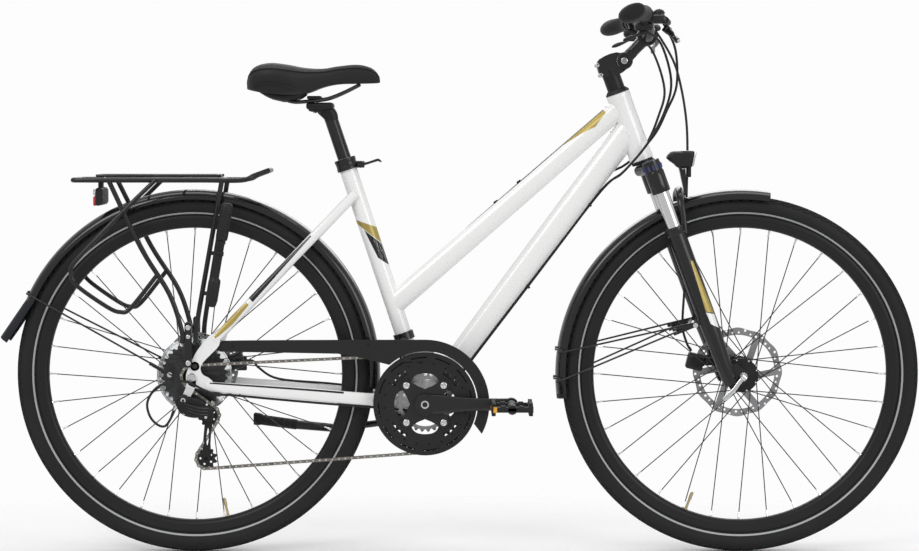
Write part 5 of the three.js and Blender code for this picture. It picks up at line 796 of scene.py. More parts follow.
def make_fork_lowers():
    piece = Piece("fork_legs")
    leg = [(15.6, 0), (19.4, 0), (20.4, 1), (20.4, 12), (19.4, 14), (18.4, 15), (18.5, 120), (18.5, 214),
           (17.6, 232), (15.2, 290), (13.8, 326), (12.4, 331), (POLE, 332)]
    base = [(-0.6, 2.6), (0.2, 2.7), (1, 2.6), (1.9, 1.9), (2.7, 1.1), (3, 0.5), (3, 0), (2.75, -0.6),
            (2.4, -1), (1.9, -1.15), (1.4, -1.1), (0.4, -0.8), (-0.6, -0.4)]
    outline = [on_head(LEG_AHEAD + (x - 0.3) * 14, 0, z * 14 - 468.8).xz for x, z in base]
    for side in (1, -1):
        top = fork_point(side, LEG_TOP)
        piece.lathe(leg, black, top, -HEAD_UP, 56)
        piece.lathe([(15.6, -0.5), (18.4, -0.8), (18.6, 0.4)], rubber, top, -HEAD_UP, 40)
        piece.plate(outline, *sorted((side * 50, side * 58)), black, [circle(6.2, 20, FRONT.xz)])
    arch = [(26, 59, -163), (36, 55, -126), (42, 46, -97), (47, 26, -86), (49, 0, -83)]
    arch += [(ahead, -side, up) for ahead, side, up in reversed(arch[:-1])]
    spine = smooth([on_head(*p) for p in arch], 5)
    piece.sweep(spine, HEAD_AHEAD, [(7, 8.6)] * len(spine), black, 2.8)
    piece.lathe([(7, 0), (7, 25)], black, on_head(49, 0, -83), -HEAD_UP, 20)
    piece.bolt(on_head(56, 0, -90), 4, 3, silver, HEAD_AHEAD)
    for side in (1, -1):
        stations = [(fork_point(side, LEG_TOP + down), wide, wide)
                    for down, wide in ((20, 37), (214, 37), (330, 27))]
        band = facing(side, 214, 267)
        shell_strip(piece, stations, 0.15, 0.395, *band, gold, (-0.03, -0.03), 0.3, 2.0, (0.3, 1))
        shell_strip(piece, stations, 0.4, 0.46, *band, white, (-0.03, -0.055), 0.3, 2.0, (1, 0.85))
    piece.finish("lowers", "fork_lowers")


def make_headset_and_stem():
    piece = Piece("stem_lower")
    top = HEAD + HEAD_UP * HEAD_LENGTH
    cap = [(14.5, 0.4), (24, 0.4), (24.4, 1.4), (24, 3.4), (19.6, 8.6), (18.6, 9.6), (15.6, 10)]
    piece.lathe(cap, plastic, top, HEAD_UP, 56)
    piece.lathe([(15.4, 9), (17.6, 9.2), (17.6, 50), (15.4, 52)], satin, top, HEAD_UP, 48)
    shares = [(-0.5, 0.7), (-0.62, 0.78), (-0.66, 0.9), (-0.64, 1.08), (-0.6, 1.2), (-0.5, 1.3),
              (-0.36, 1.35), (0, 1.39), (0.35, 1.4), (0.75, 1.37), (1.02, 1.29), (1.22, 1.14), (1.3, 1),
              (1.2, 0.83), (1, 0.7), (0.7, 0.64), (0.4, 0.62), (0, 0.64)]
    outline = [on_head(x * 33, 0, HEAD_LENGTH + z * 57).xz for x, z in shares]
    piece.plate(outline, -8.8, 8.8, black)
    piece.plate([p for p in outline if (p - PIVOT.xz).length > 18.5], -16.9, 16.9, black)
    for t in (46, 67):
        for side in (1, -1):
            piece.bolt(on_head(-20, side * 15.6, HEAD_LENGTH + t), 4.2, 1.6, silver, Y * side)
    piece.lathe([(5, -20), (5, 20)], steel, PIVOT, Y, 24)
    piece.finish("steering", "stem_base", bevel=1.2)
    arm = Piece("stem_upper")
    way = (BAR - PIVOT).normalized()
    joint = [(POLE, -4.8), (16.6, -4.8), (17, -4), (17, 3.6), (16, 4.7), (11, 4.8), (10.4, 3.8), (7, 3.8),
             (6.6, 4.7), (POLE, 4.7)]
    ring = [(7, 4.6), (12.6, 4.6), (13.4, 5), (13.4, 5.6), (12.6, 6), (8, 6), (7.4, 5.4), (7, 4.6)]
    for side in (1, -1):
        cheek = PIVOT + Y * side * 14.2
        arm.lathe(joint, black, cheek, Y * side, 48)
        arm.lathe(ring, satin, cheek, Y * side, 48)
        arm.bolt(PIVOT + Y * side * 17.6, 6.6, 1.8, silver, Y * side)
        for k in range(7):
            a = radians(150 + k * 12)
            arm.slab((3, 0.3, 0.7), PIVOT + outward(a) * 14 + Y * side * 19, stripe, -a, 0.1)
    neck = [(PIVOT + way * 19, 24, 37.6), (PIVOT + way * 34, 23.5, 37), (PIVOT + way * 50, 25, 38.4),
            (BAR, 28, 40)]
    arm.loft(neck, black, 44, 3.2, 6)
    for side in (1, -1):
        arm.loft([(PIVOT + way * reach + Y * side * y, 23, width) for reach, y, width in
                  ((0, 14.2, 9.4), (12, 14.2, 9.4), (24, 14, 9.6))], black, 24, 3, 4)
    arm.lathe([(13, -21.8), (18, -21.8), (19, -20.8), (19, 20.8), (18, 21.8), (13, 21.8)], black, BAR, Y, 56)
    for side in (1, -1):
        for z in (-13, 13):
            arm.bolt(BAR + vec(13, side * 15, z), 3.2, 2.4, silver, vec(1, 0, 0.2))
    arm.finish("cockpit", "stem_arm", bevel=0.4)


def on_bar(side, y):
    bend, end = BAR + vec(-9, side * 128, 34), BAR + vec(-40, side * 321, 39)
    return bend.lerp(end, (y - 128) / 193)


def half_bar(side):
    """Bar from its end to the clamp: the straight part, then shares of the bend."""
    bend = ((0.85, 0.78, 0.92), (0.67, 0.34, 0.6), (0.49, 0.06, 0.24), (0.36, 0, 0.05))
    return [*[on_bar(side, y) for y in (320.8, 230, 160, 130)],
            *[BAR + vec(-9 * back, side * 128 * y, 34 * rise) for y, back, rise in bend], BAR + Y * side * 32]


def make_bar():
    piece = Piece("bar_tube")
    path = smooth(half_bar(1) + [BAR] + half_bar(-1)[::-1], 6)
    radii = [12.6 - 1.5 * min(max(abs(p.y) - 30, 0) / 14, 1) for p in path]
    piece.tube(path, 11.1, black, 28, radii=radii)
    piece.finish("cockpit", "handlebar")


# Grip: distance along the bar, palm rest's offset back and down, depth and height
GRIP = [(190, 0, 0, 30, 30), (192, 0, 0, 32, 32), (206, 0, 0, 31, 31), (222, 1, 0, 31, 30.5),
        (238, 5, 1.4, 36, 30), (254, 9, 3.6, 45, 31), (270, 12, 5.4, 51, 33), (288, 13, 6.6, 53, 34),
        (304, 12, 6.6, 51, 34), (316, 9, 5.4, 44, 32), (323, 6, 4, 35, 27), (325.6, 4, 3, 25, 19)]


def make_grip(side, hand):
    piece = Piece("grip_" + hand + "_sleeve")
    path = smooth([Vector(row[:3]) for row in GRIP], 4)
    sizes = smooth([Vector((*row[3:], 0)) for row in GRIP], 4)
    rows = []
    for k, (p, size) in enumerate(zip(path, sizes)):
        at = on_bar(side, p.x) + vec(-p.y, 0, -p.z)
        rib = 0.35 if k % 2 and 1 < k < len(path) - 8 else 0
        drop = 0.22 * max(0, min(1, (p.x - 225) / 45))
        rows.append([at + vec(a * (size.x / 2 - rib), 0, b * (size.y / 2 - rib) + a * size.x / 2 * drop)
                     for a, b in squared(36, 2.1)])
    piece.rings(rows, rubber)
    along = (on_bar(side, 300) - on_bar(side, 200)).normalized()
    piece.lathe([(16.3, 0), (17, 0.6), (17, 4.6), (16.3, 5.2)], satin, on_bar(side, 188.2), along, 40)
    piece.finish("cockpit", "grip_" + hand)


def make_controls(side, hand):
    piece = Piece("control_" + hand + "_unit")
    along = (on_bar(side, 300) - on_bar(side, 200)).normalized()
    middle = on_bar(side, 158)
    for y, length, edge, paint in ((138.4, 14.2, 0.8, black), (161.6, 16, 1, plastic)):
        collar = [(12, 0), (15.8, 0), (16.4, 0.8), (16.4, length - edge), (15.8, length), (12, length)]
        piece.lathe(collar, paint, on_bar(side, y), along, 40)
    for size, at, paint, lean, edge in (((33.4, 39, 16.4), (21.5, 0, -8), black, 0, 5),
                                        ((26, 30, 2), (22, 0, 0.2), satin, 0, 0.8),
                                        ((33.4, 35.6, 14.6), (-4, 0, -21.8), plastic, 0, 5),
                                        ((20, 12, 3), (-2, side * 6, -12.6), stripe, 0.2, 1)):
        piece.slab(size, middle + Vector(at), paint, lean, edge)
    nose = [(POLE, 0), (6.6, 0.2), (7.2, 1.4), (7.2, 20), (5.6, 22), (5.6, 27), (3.2, 28), (POLE, 28)]
    piece.lathe(nose, black, middle + vec(38, side * -14, -8), vec(0.35, -side, -0.2), 28)
    cap = [(POLE, 0), (6.8, 0), (7.4, 0.8), (7.4, 5), (6.4, 6.6), (POLE, 7)]
    piece.lathe(cap, satin, middle + vec(-4, side * 13, -13), vec(0.2, side, -0.1), 28)
    if side < 0:
        dome = middle + vec(26, 3, 3)
        bell = [(POLE, 9), (5, 8.4), (9, 6.2), (11, 2.6), (11.4, 0), (10.6, -0.4), (POLE, -0.4)]
        piece.lathe(bell, satin, dome, Z, 36)
        piece.lathe([(POLE, 4.4), (2, 4), (2.4, 2.6), (POLE, 2.4)], silver, dome + Z * 6.4, Z, 16)
    for x in (12, 31):
        for y in (-11, 11):
            piece.bolt(middle + vec(x, y, 0.6), 2, 0.9, silver, Z)
    piece.finish("cockpit", "control_" + hand)
    lever = Piece("brake_lever_" + hand + "_blade")
    eye, tip = middle + vec(41, 0, -27.5), on_bar(side, 296) + vec(72, 0, -58)
    pull = vec(-72, 0, 58).normalized()
    axis = Y.cross(pull)
    knee = eye.lerp(tip, 0.35) - pull * 8
    path = smooth([eye, eye.lerp(knee, 0.5) - pull, knee, eye.lerp(tip, 0.7), tip], 8)
    last = len(path) - 1
    sizes = [(6.6 - 1.2 * i / last, 3.4) for i in range(last)] + [(5.4 * 0.55, 3.4 * 0.55)]
    lever.sweep(path, axis, sizes, black, 2.6)
    lever.lathe(puck(7.8, 7, 1), black, eye, axis, 28)
    lever.bolt(eye + axis * 6.6, 3, 1, silver, axis)
    lever.slab((5, 9, 6), tip + vec(2, side * -3, 0), silver, 0.7, 1.4)
    lever.finish(hand + "_brake_lever", "brake_lever_" + hand)
    shift = Piece("shift_lever_" + hand + "_paddle")
    top = middle + vec(-4, 0, -29.8)
    low = top - Z * 4
    end = low + vec(-40, side * 16, -14)
    steps, rows = 8, []
    for i, at in enumerate(smooth([low, low.lerp(end, 0.5) - Z, end], steps)):
        share = i / (2 * steps)
        wide = (6.4 + 2.2 * sin(pi * min(1, share * 1.1))) * (0.6 if share == 1 else 1)
        deep = 1.9 + (3.2 * sin(pi * share * share) if share < 1 else 0)
        rows.append([at + Y * wide * a * 0.93 + vec(0.33, 0, 0.94) * deep * b for a, b in squared(20, 2.4)])
    shift.rings(rows, plastic)
    shift.lathe([(POLE, 0), (8.6, 0), (9, -0.6), (9, -7), (8, -8), (POLE, -8)], plastic, top, Z, 32)
    shift.finish(hand + "_shift_lever", "shift_lever_" + hand)


make_fork_upper()
make_fork_lowers()
make_headset_and_stem()
make_bar()
for side, hand in ((1, "left"), (-1, "right")):
    make_grip(side, hand)
    make_controls(side, hand)


# Fenders
FENDER_RADIUS = 368.8


def make_fender(name, body, centre, start, end, flap, lean):
    piece = Piece(name + "_strip")
    outer = [(-28.4, -19), (-28.3, -15), (-27, -10), (-22.8, -5.7), (-16, -2.6), (-8, -0.6), (0, 0)]
    outer += [(-y, r) for y, r in reversed(outer[:-1])]
    section = outer + [(y * 0.94, r - 1.8 if abs(y) < 28 else r) for y, r in reversed(outer)]
    angles = [mix((start, end), i / 90) for i in range(91)]
    rows = [[centre + outward(a) * (FENDER_RADIUS + r) + Y * y for y, r in section] for a in angles]
    piece.rings(rows, gloss)
    for side in (1, -1):
        piece.tube([centre + outward(a) * 350 + Y * side * 27.4 for a in angles], 0.9, gloss, 8)
    out, turned = outward(end), outward(end + lean)
    way = vec(-turned.z, 0, turned.x)
    rows = []
    for share in (i / 8 for i in range(9)):
        base = centre + out * FENDER_RADIUS + way * flap * share
        up, wide = out.lerp(turned, share).normalized(), 1 - 0.64 * max(0, share - 0.75)
        rows.append([base + up * (r - 0.1) + Y * y * wide for y, r in section])
    piece.rings(rows, flapping)
    piece.finish(body, name)


def make_stays(name, body, centre, eye, angles):
    piece = Piece(name + "_wires")
    eyes = {side: centre + vec(eye[0], side * eye[1], eye[2]) for side in (1, -1)}
    for angle in angles:
        hoop = [centre + outward(angle) * r - Y * y for y, r in
                ((31, 348), (30.6, 357), (27.2, 365.8), (14, 370.6), (0, 371.8))]
        near = vec(eye[0], -eye[1], eye[2]).lerp(centre + outward(angle) * 353.8 - Y * 31, 0.02)
        right = [eyes[-1], centre + near, *hoop]
        left = [vec(p.x, -p.y, p.z) for p in reversed(right)]
        piece.tube(smooth(right, 4) + smooth(left, 4)[1:], 1.9, black, 10)
        for side, start in eyes.items():
            way = (centre + outward(angle) * 350 + Y * side * 31 - start).normalized()
            piece.tube([start + way * 4, start + way * 46], 3.6, plastic, 12)
            piece.lathe([(POLE, -3), (2.6, -3), (2.6, 3), (POLE, 3)], silver, start + way * 40, Y, 12)
        piece.slab((8, 16, 3), centre + outward(angle) * 371.2, plastic, -angle + pi / 2, 0.8)
    for start in eyes.values():
        piece.lathe([(POLE, -3), (5, -3), (5, 3), (POLE, 3)], silver, start, Y, 20)
    piece.finish(body, name)


make_fender("front_fender", "lowers", FRONT, radians(81), radians(186), 10, 0)
make_fender("rear_fender", "frame", REAR, radians(-4), radians(156), 91, radians(-10.7))
make_stays("front_fender_stays", "lowers", FRONT, (-95, 62, 102), [radians(172), radians(181)])
make_stays("rear_fender_stays", "frame", REAR, (-43, 78, 6), [radians(154)])


# Seat: shares of the saddle's length, half width, top and underside from tail to nose
SADDLE = [(0, 0.55, 0.5, 0.17), (0.03, 0.76, 0.76, 0.13), (0.09, 0.91, 0.93, 0.08), (0.19, 1, 1, 0.03),
          (0.32, 0.96, 0.94, 0), (0.44, 0.78, 0.85, 0.06), (0.57, 0.52, 0.83, 0.25),
          (0.69, 0.37, 0.91, 0.345), (0.83, 0.28, 0.96, 0.36), (0.93, 0.24, 0.87, 0.37),
          (0.98, 0.2, 0.7, 0.38), (1, 0.13, 0.5, 0.4)]
SADDLE_LENGTH, SADDLE_HALF, SADDLE_RISE = 260, 91, 62


def on_saddle(along, side, up):
    """Place from shares of the saddle's length and rise, and millimetres sideways."""
    return vec(-418 + along * SADDLE_LENGTH, side, 912 + up * SADDLE_RISE)


def make_saddle():
    piece = Piece("saddle_cushion")
    stations = smooth([Vector(row[:3]) for row in SADDLE], 6)
    lows = smooth([vec(row[0], row[3], 0) for row in SADDLE], 6)
    half = [(0.82, 0), (0.9, 0.12), (0.94, 0.3), (1, 0.56), (0.985, 0.72), (0.93, 0.84), (0.8, 0.94),
            (0.62, 1.0), (0.4, 1.0), (0.2, 0.975), (0.06, 0.95)]
    section = half + [(-y, z) for y, z in reversed(half)]
    rows, seams = [], {1: [], -1: []}
    for p, low in zip(stations, lows):
        span, wide = (low.y, p.z), p.y * SADDLE_HALF
        fill = 0.55 * max(0, min(1, (p.x - 0.5) / 0.3))
        crown = [z + (1 - z) * fill if z > 0.9 and abs(y) < 0.3 else z for y, z in section]
        rows.append([on_saddle(p.x, y * wide, mix(span, z)) for (y, _), z in zip(section, crown)])
        for side in (1, -1):
            seams[side].append(on_saddle(p.x, side * (wide * 0.955 + 0.6), mix(span, 0.8)) + Z * 0.6)
    piece.rings(rows, leather)
    fold = ((0.05, 0.8, 0.22), (0.12, 0.93, 0.33), (0.22, 1.0, 0.34), (0.31, 0.965, 0.26), (0.38, 0.89, 0.12))
    for side in (1, -1):
        seam = seams[side][3:-2]
        piece.tube(seam, 0.8, leather_side, 8)
        for a, b in zip(seam, seam[1:]):
            for share in (0.15, 0.65):
                start = a.lerp(b, share) + vec(0, side * 0.2, 1.6)
                piece.tube([start, start + (b - a).normalized() * 2.2], 0.4, thread, 6)
        crease = [on_saddle(x, side * (wide * SADDLE_HALF + 0.2), z) for x, wide, z in fold]
        piece.tube(smooth(crease, 6), 0.9, leather_side, 8)
    cushion = piece.finish("seat", "saddle", angle=60)


def make_rails():
    piece = Piece("saddle_rail_wires")
    wire = [(-366, 22, 908.8), (-347.8, 22, 903.6), (-329.6, 22, 898), (-300, 22, 899.5), (-262, 22, 904.3),
            (-230.8, 17, 916), (-199.6, 12, 931.4)]
    for side in (1, -1):
        piece.tube(smooth([vec(x, y * side, z) for x, y, z in wire], 6), 3.4, dark_steel, 16)
    cradle = ((-394, 26, 921, 915), (-384, 34, 921, 909), (-370, 36, 921, 902.5), (-348, 33, 920, 897.5),
              (-326, 28, 919, 898.5), (-311, 22, 918, 905), (-303, 15, 917, 911))
    piece.rings([[vec(x, half * a, mix((low, top), (1 + b) / 2)) for a, b in squared(28, 3)]
                 for x, half, top, low in cradle], plastic)
    for x, y, z in ((-366, 24, 908.8), (-199.6, 13, 931.4)):
        piece.tube([(x, y, z), (x, -y, z)], 3.4, plastic, 16)
    piece.finish("seat", "saddle_rails")


def make_seatpost():
    piece = Piece("seatpost_tube")
    post = [SEAT_TOP - SEAT_UP * 150, SEAT_TOP, POST_TOP - SEAT_UP * 8, POST_TOP]
    piece.tube(post, 13.5, black, 48, radii=[13.5, 13.5, 13.5, 12])
    x = POST_TOP.x - 18
    piece.slab((54, 54, 14), (x, 0, 890), satin, 0, 5)
    piece.slab((30, 44, 13), (x - 8, 0, 884), satin, 0.14, 5)
    neck = [(POST_TOP - SEAT_UP * 14, 27, 27), (POST_TOP - SEAT_UP * 2, 30, 29), (vec(x + 6, 0, 887), 32, 34)]
    piece.loft(neck, satin, 32, 2.4, 5)
    piece.slab((28, 54, 6.6), (x - 11.2, 0, 906.6), satin, 0, 2.4)
    piece.tube([(x - 11.2, 0, 876), (x - 11.2, 0, 909)], 3.6, silver, 14)
    piece.finish("seat", "seatpost")


def make_collar():
    piece = Piece("seat_collar_ring")
    ring = [(17.8, 0), (20.8, 0), (21.5, 0.8), (21.5, 6), (20.8, 8), (20.8, 16), (21.5, 18), (21.5, 22.6),
            (20.8, 23.4), (17.8, 23.4)]
    piece.lathe(ring, black, SEAT_TOP - SEAT_UP * 23.6, SEAT_UP, 56)
    ear = SEAT_TOP - SEAT_UP * 12 + vec(28.5, 0, 0)
    for side in (1, -1):
        piece.slab((19, 5, 13.6), ear + vec(-2, side * 3.2, 0), black, 0, 2)
    piece.finish("frame", "seat_collar")
    lever = Piece("seat_lever_blade")
    root = ear - Y * 10.8
    lever.lathe(puck(7, 4.4, 0.8), black, root, Y, 28)
    tip = root + vec(35.2, 0, 8.8)
    blade = [(root, 8, 8), (root.lerp(tip, 0.35) - Z, 5.4, 8.6), (root.lerp(tip, 0.75), 5.2, 9),
             (tip, 5.6, 8.8), (tip + vec(6, 0, -4), 3, 7)]
    lever.loft(blade, black, 20, 3, 5)
    lever.finish("seat_clamp_lever", "seat_lever")


make_saddle()
make_rails()
make_seatpost()
make_collar()


# Carrier: a deck ring on legs, each given as shares of the carrier's length, spread and height
DECK_Z, FLAP_Z = 744, 752.3
FRONT_LEG = [(0.21, 0, 1), (0.4, 0.75, 0.52), (0.56, 1, 0.2), (0.63, 1, -0.06), (0.63, 1, -0.15)]
REAR_LEG = [(0.86, 0, 1), (0.79, 0.6, 0.5), (0.72, 1, 0), (0.71, 1, -0.15)]
LOW_RAIL = [(0.48, 0.3, 1), (0.33, 0.6, 0.82), (0.18, 0.9, 0.63), (0.02, 1.1, 0.42), (0, 1.1, 0.34),
            (0.03, 1.1, 0.26), (0.2, 1, 0.11), (0.28, 1, 0.07), (0.34, 1, 0.1), (0.49, 0.9, 0.33)]


def make_carrier():
    piece = Piece("carrier_frame")
    half = [(-600, 60), (-740, 60), (-757, 54), (-762, 40)]
    piece.tube(smooth([vec(x, y, DECK_Z) for x, y in mirrored(half)], 6), 4.9, black, 16)
    for side in (1, -1):
        rail = [vec(x, side * y, z) for x, y, z in ((-600, 60, DECK_Z), (-500, 60, DECK_Z),
                                                    (-428, 60, DECK_Z), (-404, 52, 753), (-378, 42, 762.5))]
        piece.tube(smooth(rail, 6), 4.9, black, 16)
        for shares, radius in ((FRONT_LEG, 4.9), (REAR_LEG, 4.9), (LOW_RAIL, 4.4)):
            leg = [vec(-762 + x * 343, side * (60 + y * 19), 466 + z * 278) for x, y, z in shares]
            piece.tube(smooth(leg, 6), radius, black, 16)
        foot = [(-540, 379), (-537, 376.4), (-529, 376.4), (-526, 379), (-526, 462), (-529, 465.6),
                (-537, 465.6), (-540, 462)]
        piece.plate(foot, *sorted((side * 73.8, side * 82.6)), black)
        for z, radius in ((385, 5), (437, 4), (455, 5)):
            piece.bolt((-533, side * 82.4, z), radius, 1.6, silver, Y * side)
    for x, y, z, radius, sides in ((-714, 60, DECK_Z, 4.6, 14), (-470, 60, DECK_Z, 4.6, 14),
                                   (-378, 43, 762.5, 4.9, 16), (-630, 60, DECK_Z - 1, 3, 12),
                                   (-550, 60, DECK_Z - 1, 3, 12)):
        piece.tube([(x, y, z), (x, -y, z)], radius, black, sides)
    piece.tube([(-762, 0, DECK_Z), (-470, 0, DECK_Z)], 3.8, black, 14)
    piece.finish("frame", "carrier")
    flap = Piece("deck_flap_wire")
    half = [(-478.3, 0), (-478.3, 28), (-484, 34), (-600, 34), (-706, 34), (-715, 26), (-715, 0)]
    loop = [vec(x, y, FLAP_Z) for x, y in half + [(x, -y) for x, y in half[-2:0:-1]]]
    flap.tube(smooth(loop, 5, closed=True), 2.9, black, 12, loop=True)
    for side in (1, -1):
        coil = [(-478.3 + 5.2 * cos(a), side * (4 + a * 0.55), max(FLAP_Z + 2.4 * sin(a), 750))
                for a in [k * 0.5 for k in range(50)]]
        flap.tube(coil, 0.9, steel, 6)
    flap.finish("flap", "deck_flap")


def make_rear_light():
    piece = Piece("rear_light_unit")
    outline = [(-10, -12), (-8, -17), (-3, -18), (6, -16), (10, -11), (10, 12), (6, 17), (-4, 18), (-8, 15),
               (-10, 9)]
    piece.plate([(x * 0.75 + 2, z) for x, z in outline], -42, 42, plastic, centre=(-714, 711))
    piece.slab((6, 84, 19), (-720.6, 0, 702.5), red_lens, 0, 2.6)
    piece.slab((6, 84, 12.5), (-720.6, 0, 719.8), clear_lens, 0, 2.6)
    piece.slab((9, 20, 12), (-713.5, 0, 733), satin, 0, 2)
    piece.finish("frame", "rear_light", bevel=1.6)


def cover_arc(radius, start, end, count):
    """Arc round the bracket, in degrees."""
    return [polar(radius, radians(mix((start, end), k / count)), BRACKET.xz) for k in range(count + 1)]


def make_chain_cover():
    piece = Piece("chain_cover_shell")
    start, tenth = -28, degrees(0.1)
    rear = [(-200, 429.8), (-330, 429.3), (-430, 428.6), (-466, 428), (-475, 424), (-480, 417), (-478, 410),
            (-472, 406.4), (-430, 405.6), (-330, 404), (-240, 402.2), (-205, 396.6)]
    shell = cover_arc(126.8, start, 90, 36) + rear + cover_arc(104.2, 132, start + tenth, 40)
    piece.plate(shell, -67.1, -64.2, plastic)
    lip = cover_arc(125.6, start + 0.3 * tenth, 90, 36) + [(-200, 428.4), (-330, 427.9), (-466, 426.6)]
    low = [(-470, 407.6), (-430, 407), (-330, 405.4), (-240, 403.6), (-206, 398.2),
           *cover_arc(105.6, 132, 100, 8)]
    rib = cover_arc(114, start + 2 * tenth, 96, 30) + [(-200, 416.6), (-330, 416.4), (-440, 416)]
    for run, y, radius, sides in ((lip, -65.7, 1.5, 10), (low, -66.2, 1.2, 10), (rib, -66.7, 0.9, 8)):
        piece.tube([(x, y, z) for x, z in run], radius, plastic, sides)
    for x, z in ((-446, 417), (-180, 420), polar(116, radians(20), BRACKET.xz)):
        piece.bolt((x, -67, z), 3.2, 0.7, satin, -Y)
    piece.finish("frame", "chain_cover")


make_carrier()
make_rear_light()
make_chain_cover()


# Brakes, axles and gear mechanism
def make_caliper(name, body, centre, radius, y, angle, foot):
    piece = Piece(name + "_body")
    out = outward(angle)
    at, turn = centre + out * (radius - 4), Matrix.Rotation(-angle, 3, "Y")
    for size, reach, across, paint, edge in (((34, 8, 33), 2, -7.4, black, 6),
                                             ((30, 6, 26), 0, 5.6, satin, 4),
                                             ((39, 5, 12), 0, 6.2, black, 2.4),
                                             ((12, 5, 33), 6, 6.2, black, 2.4),
                                             ((14, 19, 31), 12.5, -1.5, black, 3)):
        piece.slab(size, at + out * reach + Y * (y + across), paint, turn=turn, edge=edge)
    piece.lathe([(POLE, 0), (10.5, 0), (11, -0.6), (11, -2.6), (POLE, -3)], satin, at + Y * (y - 11), Y, 28)
    piece.slab(foot[0], centre + Vector(foot[1]), black, 0, 3)
    for side in (1, -1):
        piece.bolt(at + vec(-out.z, 0, out.x) * side * 12 + Y * (y + 8.4), 3, 1.6, silver)
    piece.finish(body, name)


make_caliper("front_caliper", "lowers", FRONT, 90, 41, radians(166), ((20, 8, 22), (-56, 50.6, 23)))
make_caliper("rear_caliper", "frame", REAR, 80, 52, radians(16), ((22, 7, 30), (86, 61.8, 16)))


def make_axles():
    nut = [(5, 0.1), (8.8, 0.1), (9, 0.8), (8.6, 4.4), (6.8, 6.7), (5, 6.8)]
    for name, body, at, face in (("rear_axle", "frame", REAR, 73.8), ("front_axle", "lowers", FRONT, 58.3)):
        piece = Piece(name + "_nuts")
        piece.lathe([(4.9, -face - 6), (4.9, face + 6)], steel, at, Y, 24)
        for side in (1, -1):
            piece.lathe(nut, silver, at + Y * side * face, Y * side, 28)
        piece.finish(body, name)
    lever = Piece("front_release_blade")
    along, root = -outward(radians(49)), FRONT - Y * 71.6
    cam = along.cross(Y)
    lever.lathe(puck(6, 5.6, 0.6), silver, root, cam, 28)
    shape = ((0, 0, 0, 8, 5), (14, 1, 0, 8.4, 4.6), (30, 2, 1.4, 8.4, 4.2), (50, 2, 0, 10.4, 4),
             (60, 1.6, -1, 7, 3))
    blade = [(root + along * reach - Y * out + cam * rise, depth, width)
             for reach, out, rise, depth, width in shape]
    lever.loft(blade, silver, 24, 2.8, 5)
    lever.finish("release_lever", "front_release_lever")


def lofted(piece, origin, stations, paint, sides, power, steps):
    """Oval member whose stations are (place from the origin, depth, width)."""
    placed = [(origin + Vector(at), depth, width) for at, depth, width in stations]
    piece.loft(placed, paint, sides, power, steps)


def make_rear_derailleur():
    piece = Piece("rear_derailleur_arm")
    eye = REAR + vec(-16, 0, -44)
    boss = [(POLE, -88.6), (8.6, -88.6), (10.4, -87.4), (11, -85), (11, -75), (10, -73.9), (POLE, -73.9)]
    piece.lathe(boss, satin, eye, Y, 40)
    piece.bolt(eye - Y * 88, 5, 0.9, silver, -Y)
    lofted(piece, eye, [((0, -81.4, 0), 17, 11.6), ((18, -80, -3), 17, 11.6), ((30, -79.6, -6), 16.6, 11.6),
                        ((40, -73.4, -20), 15, 9.6), ((48, -68.6, -33), 14, 8.4)], satin, 28, 3, 6)
    knuckle = [(POLE, -73), (9.6, -73), (11, -71.8), (11, -64.5), (POLE, -64.5)]
    piece.lathe(knuckle, plastic, UPPER - Y * CHAIN_Y, Y, 36)
    lofted(piece, eye, [((-8, -82, 4), 22, 12), ((4, -84, -16), 27, 13), ((26, -83, -22), 27, 13),
                        ((46, -76, -24), 24, 12), ((54, -70, -30), 16, 9)], satin, 32, 2.8, 6)
    for k in range(3):
        ridge = [eye + Vector(at) for at in ((2 + 4 * k, -90.6 + 0.5 * k, -6 - 7 * k),
                                             (28, -89.6, -14 - 6 * k), (48, -82, -17 - 6 * k))]
        piece.tube(smooth(ridge, 5), 1.3, dark_steel, 10)
    for x, z in ((2, -26), (26, -33), (44, -34)):
        piece.bolt(eye + vec(x, -88.4 + x * 0.1, z), 2.6, 1.2, silver, -Y)
    piece.finish("derailleur", "rear_derailleur")


def make_cage():
    cage = Piece("derailleur_cage_plates")
    way = (LOWER - UPPER).normalized()
    across = vec(-way.z, 0, way.x)
    turns = [pi * k / 16 for k in range(17)]
    outline = [(UPPER - way * 9.6 * sin(a) + across * 9.6 * cos(a)).xz for a in turns]
    outline += [(UPPER + way * reach - across * 6).xz for reach in (30, 55)]
    outline += [(LOWER + way * 9.4 * sin(a) - across * 9.4 * cos(a)).xz for a in turns]
    outline += [(UPPER + way * reach + across * 6).xz for reach in (55, 30)]
    slot = [(UPPER + way * (42 + 18 * a) + across * 2.6 * b).xz for a, b in circle(1, 16)]
    for y in (CHAIN_Y - 4.15, CHAIN_Y + 4.15):
        cage.plate(outline, y - 0.7, y + 0.7, satin, [slot])
    for at in (UPPER, LOWER):
        cage.lathe([(2.3, -4.4), (2.3, 4.4)], steel, at, Y, 12)
        cage.bolt(at - Y * 4.6, 3.4, 0.25, silver, -Y)
    cage.finish("cage", "derailleur_cage")
    for name, at in (("upper", UPPER), ("lower", LOWER)):
        wheel = Piece("pulley_" + name + "_wheel")
        holes = [circle(2.2, 10, polar(11.5, tau * (k + 0.5) / 5)) for k in range(5)]
        wheel.plate(toothed(10), CHAIN_Y - 1.05, CHAIN_Y + 1.05, plastic, [circle(3.3, 48), *holes], at.xz)
        wheel.finish(name + "_pulley", "pulley_" + name)


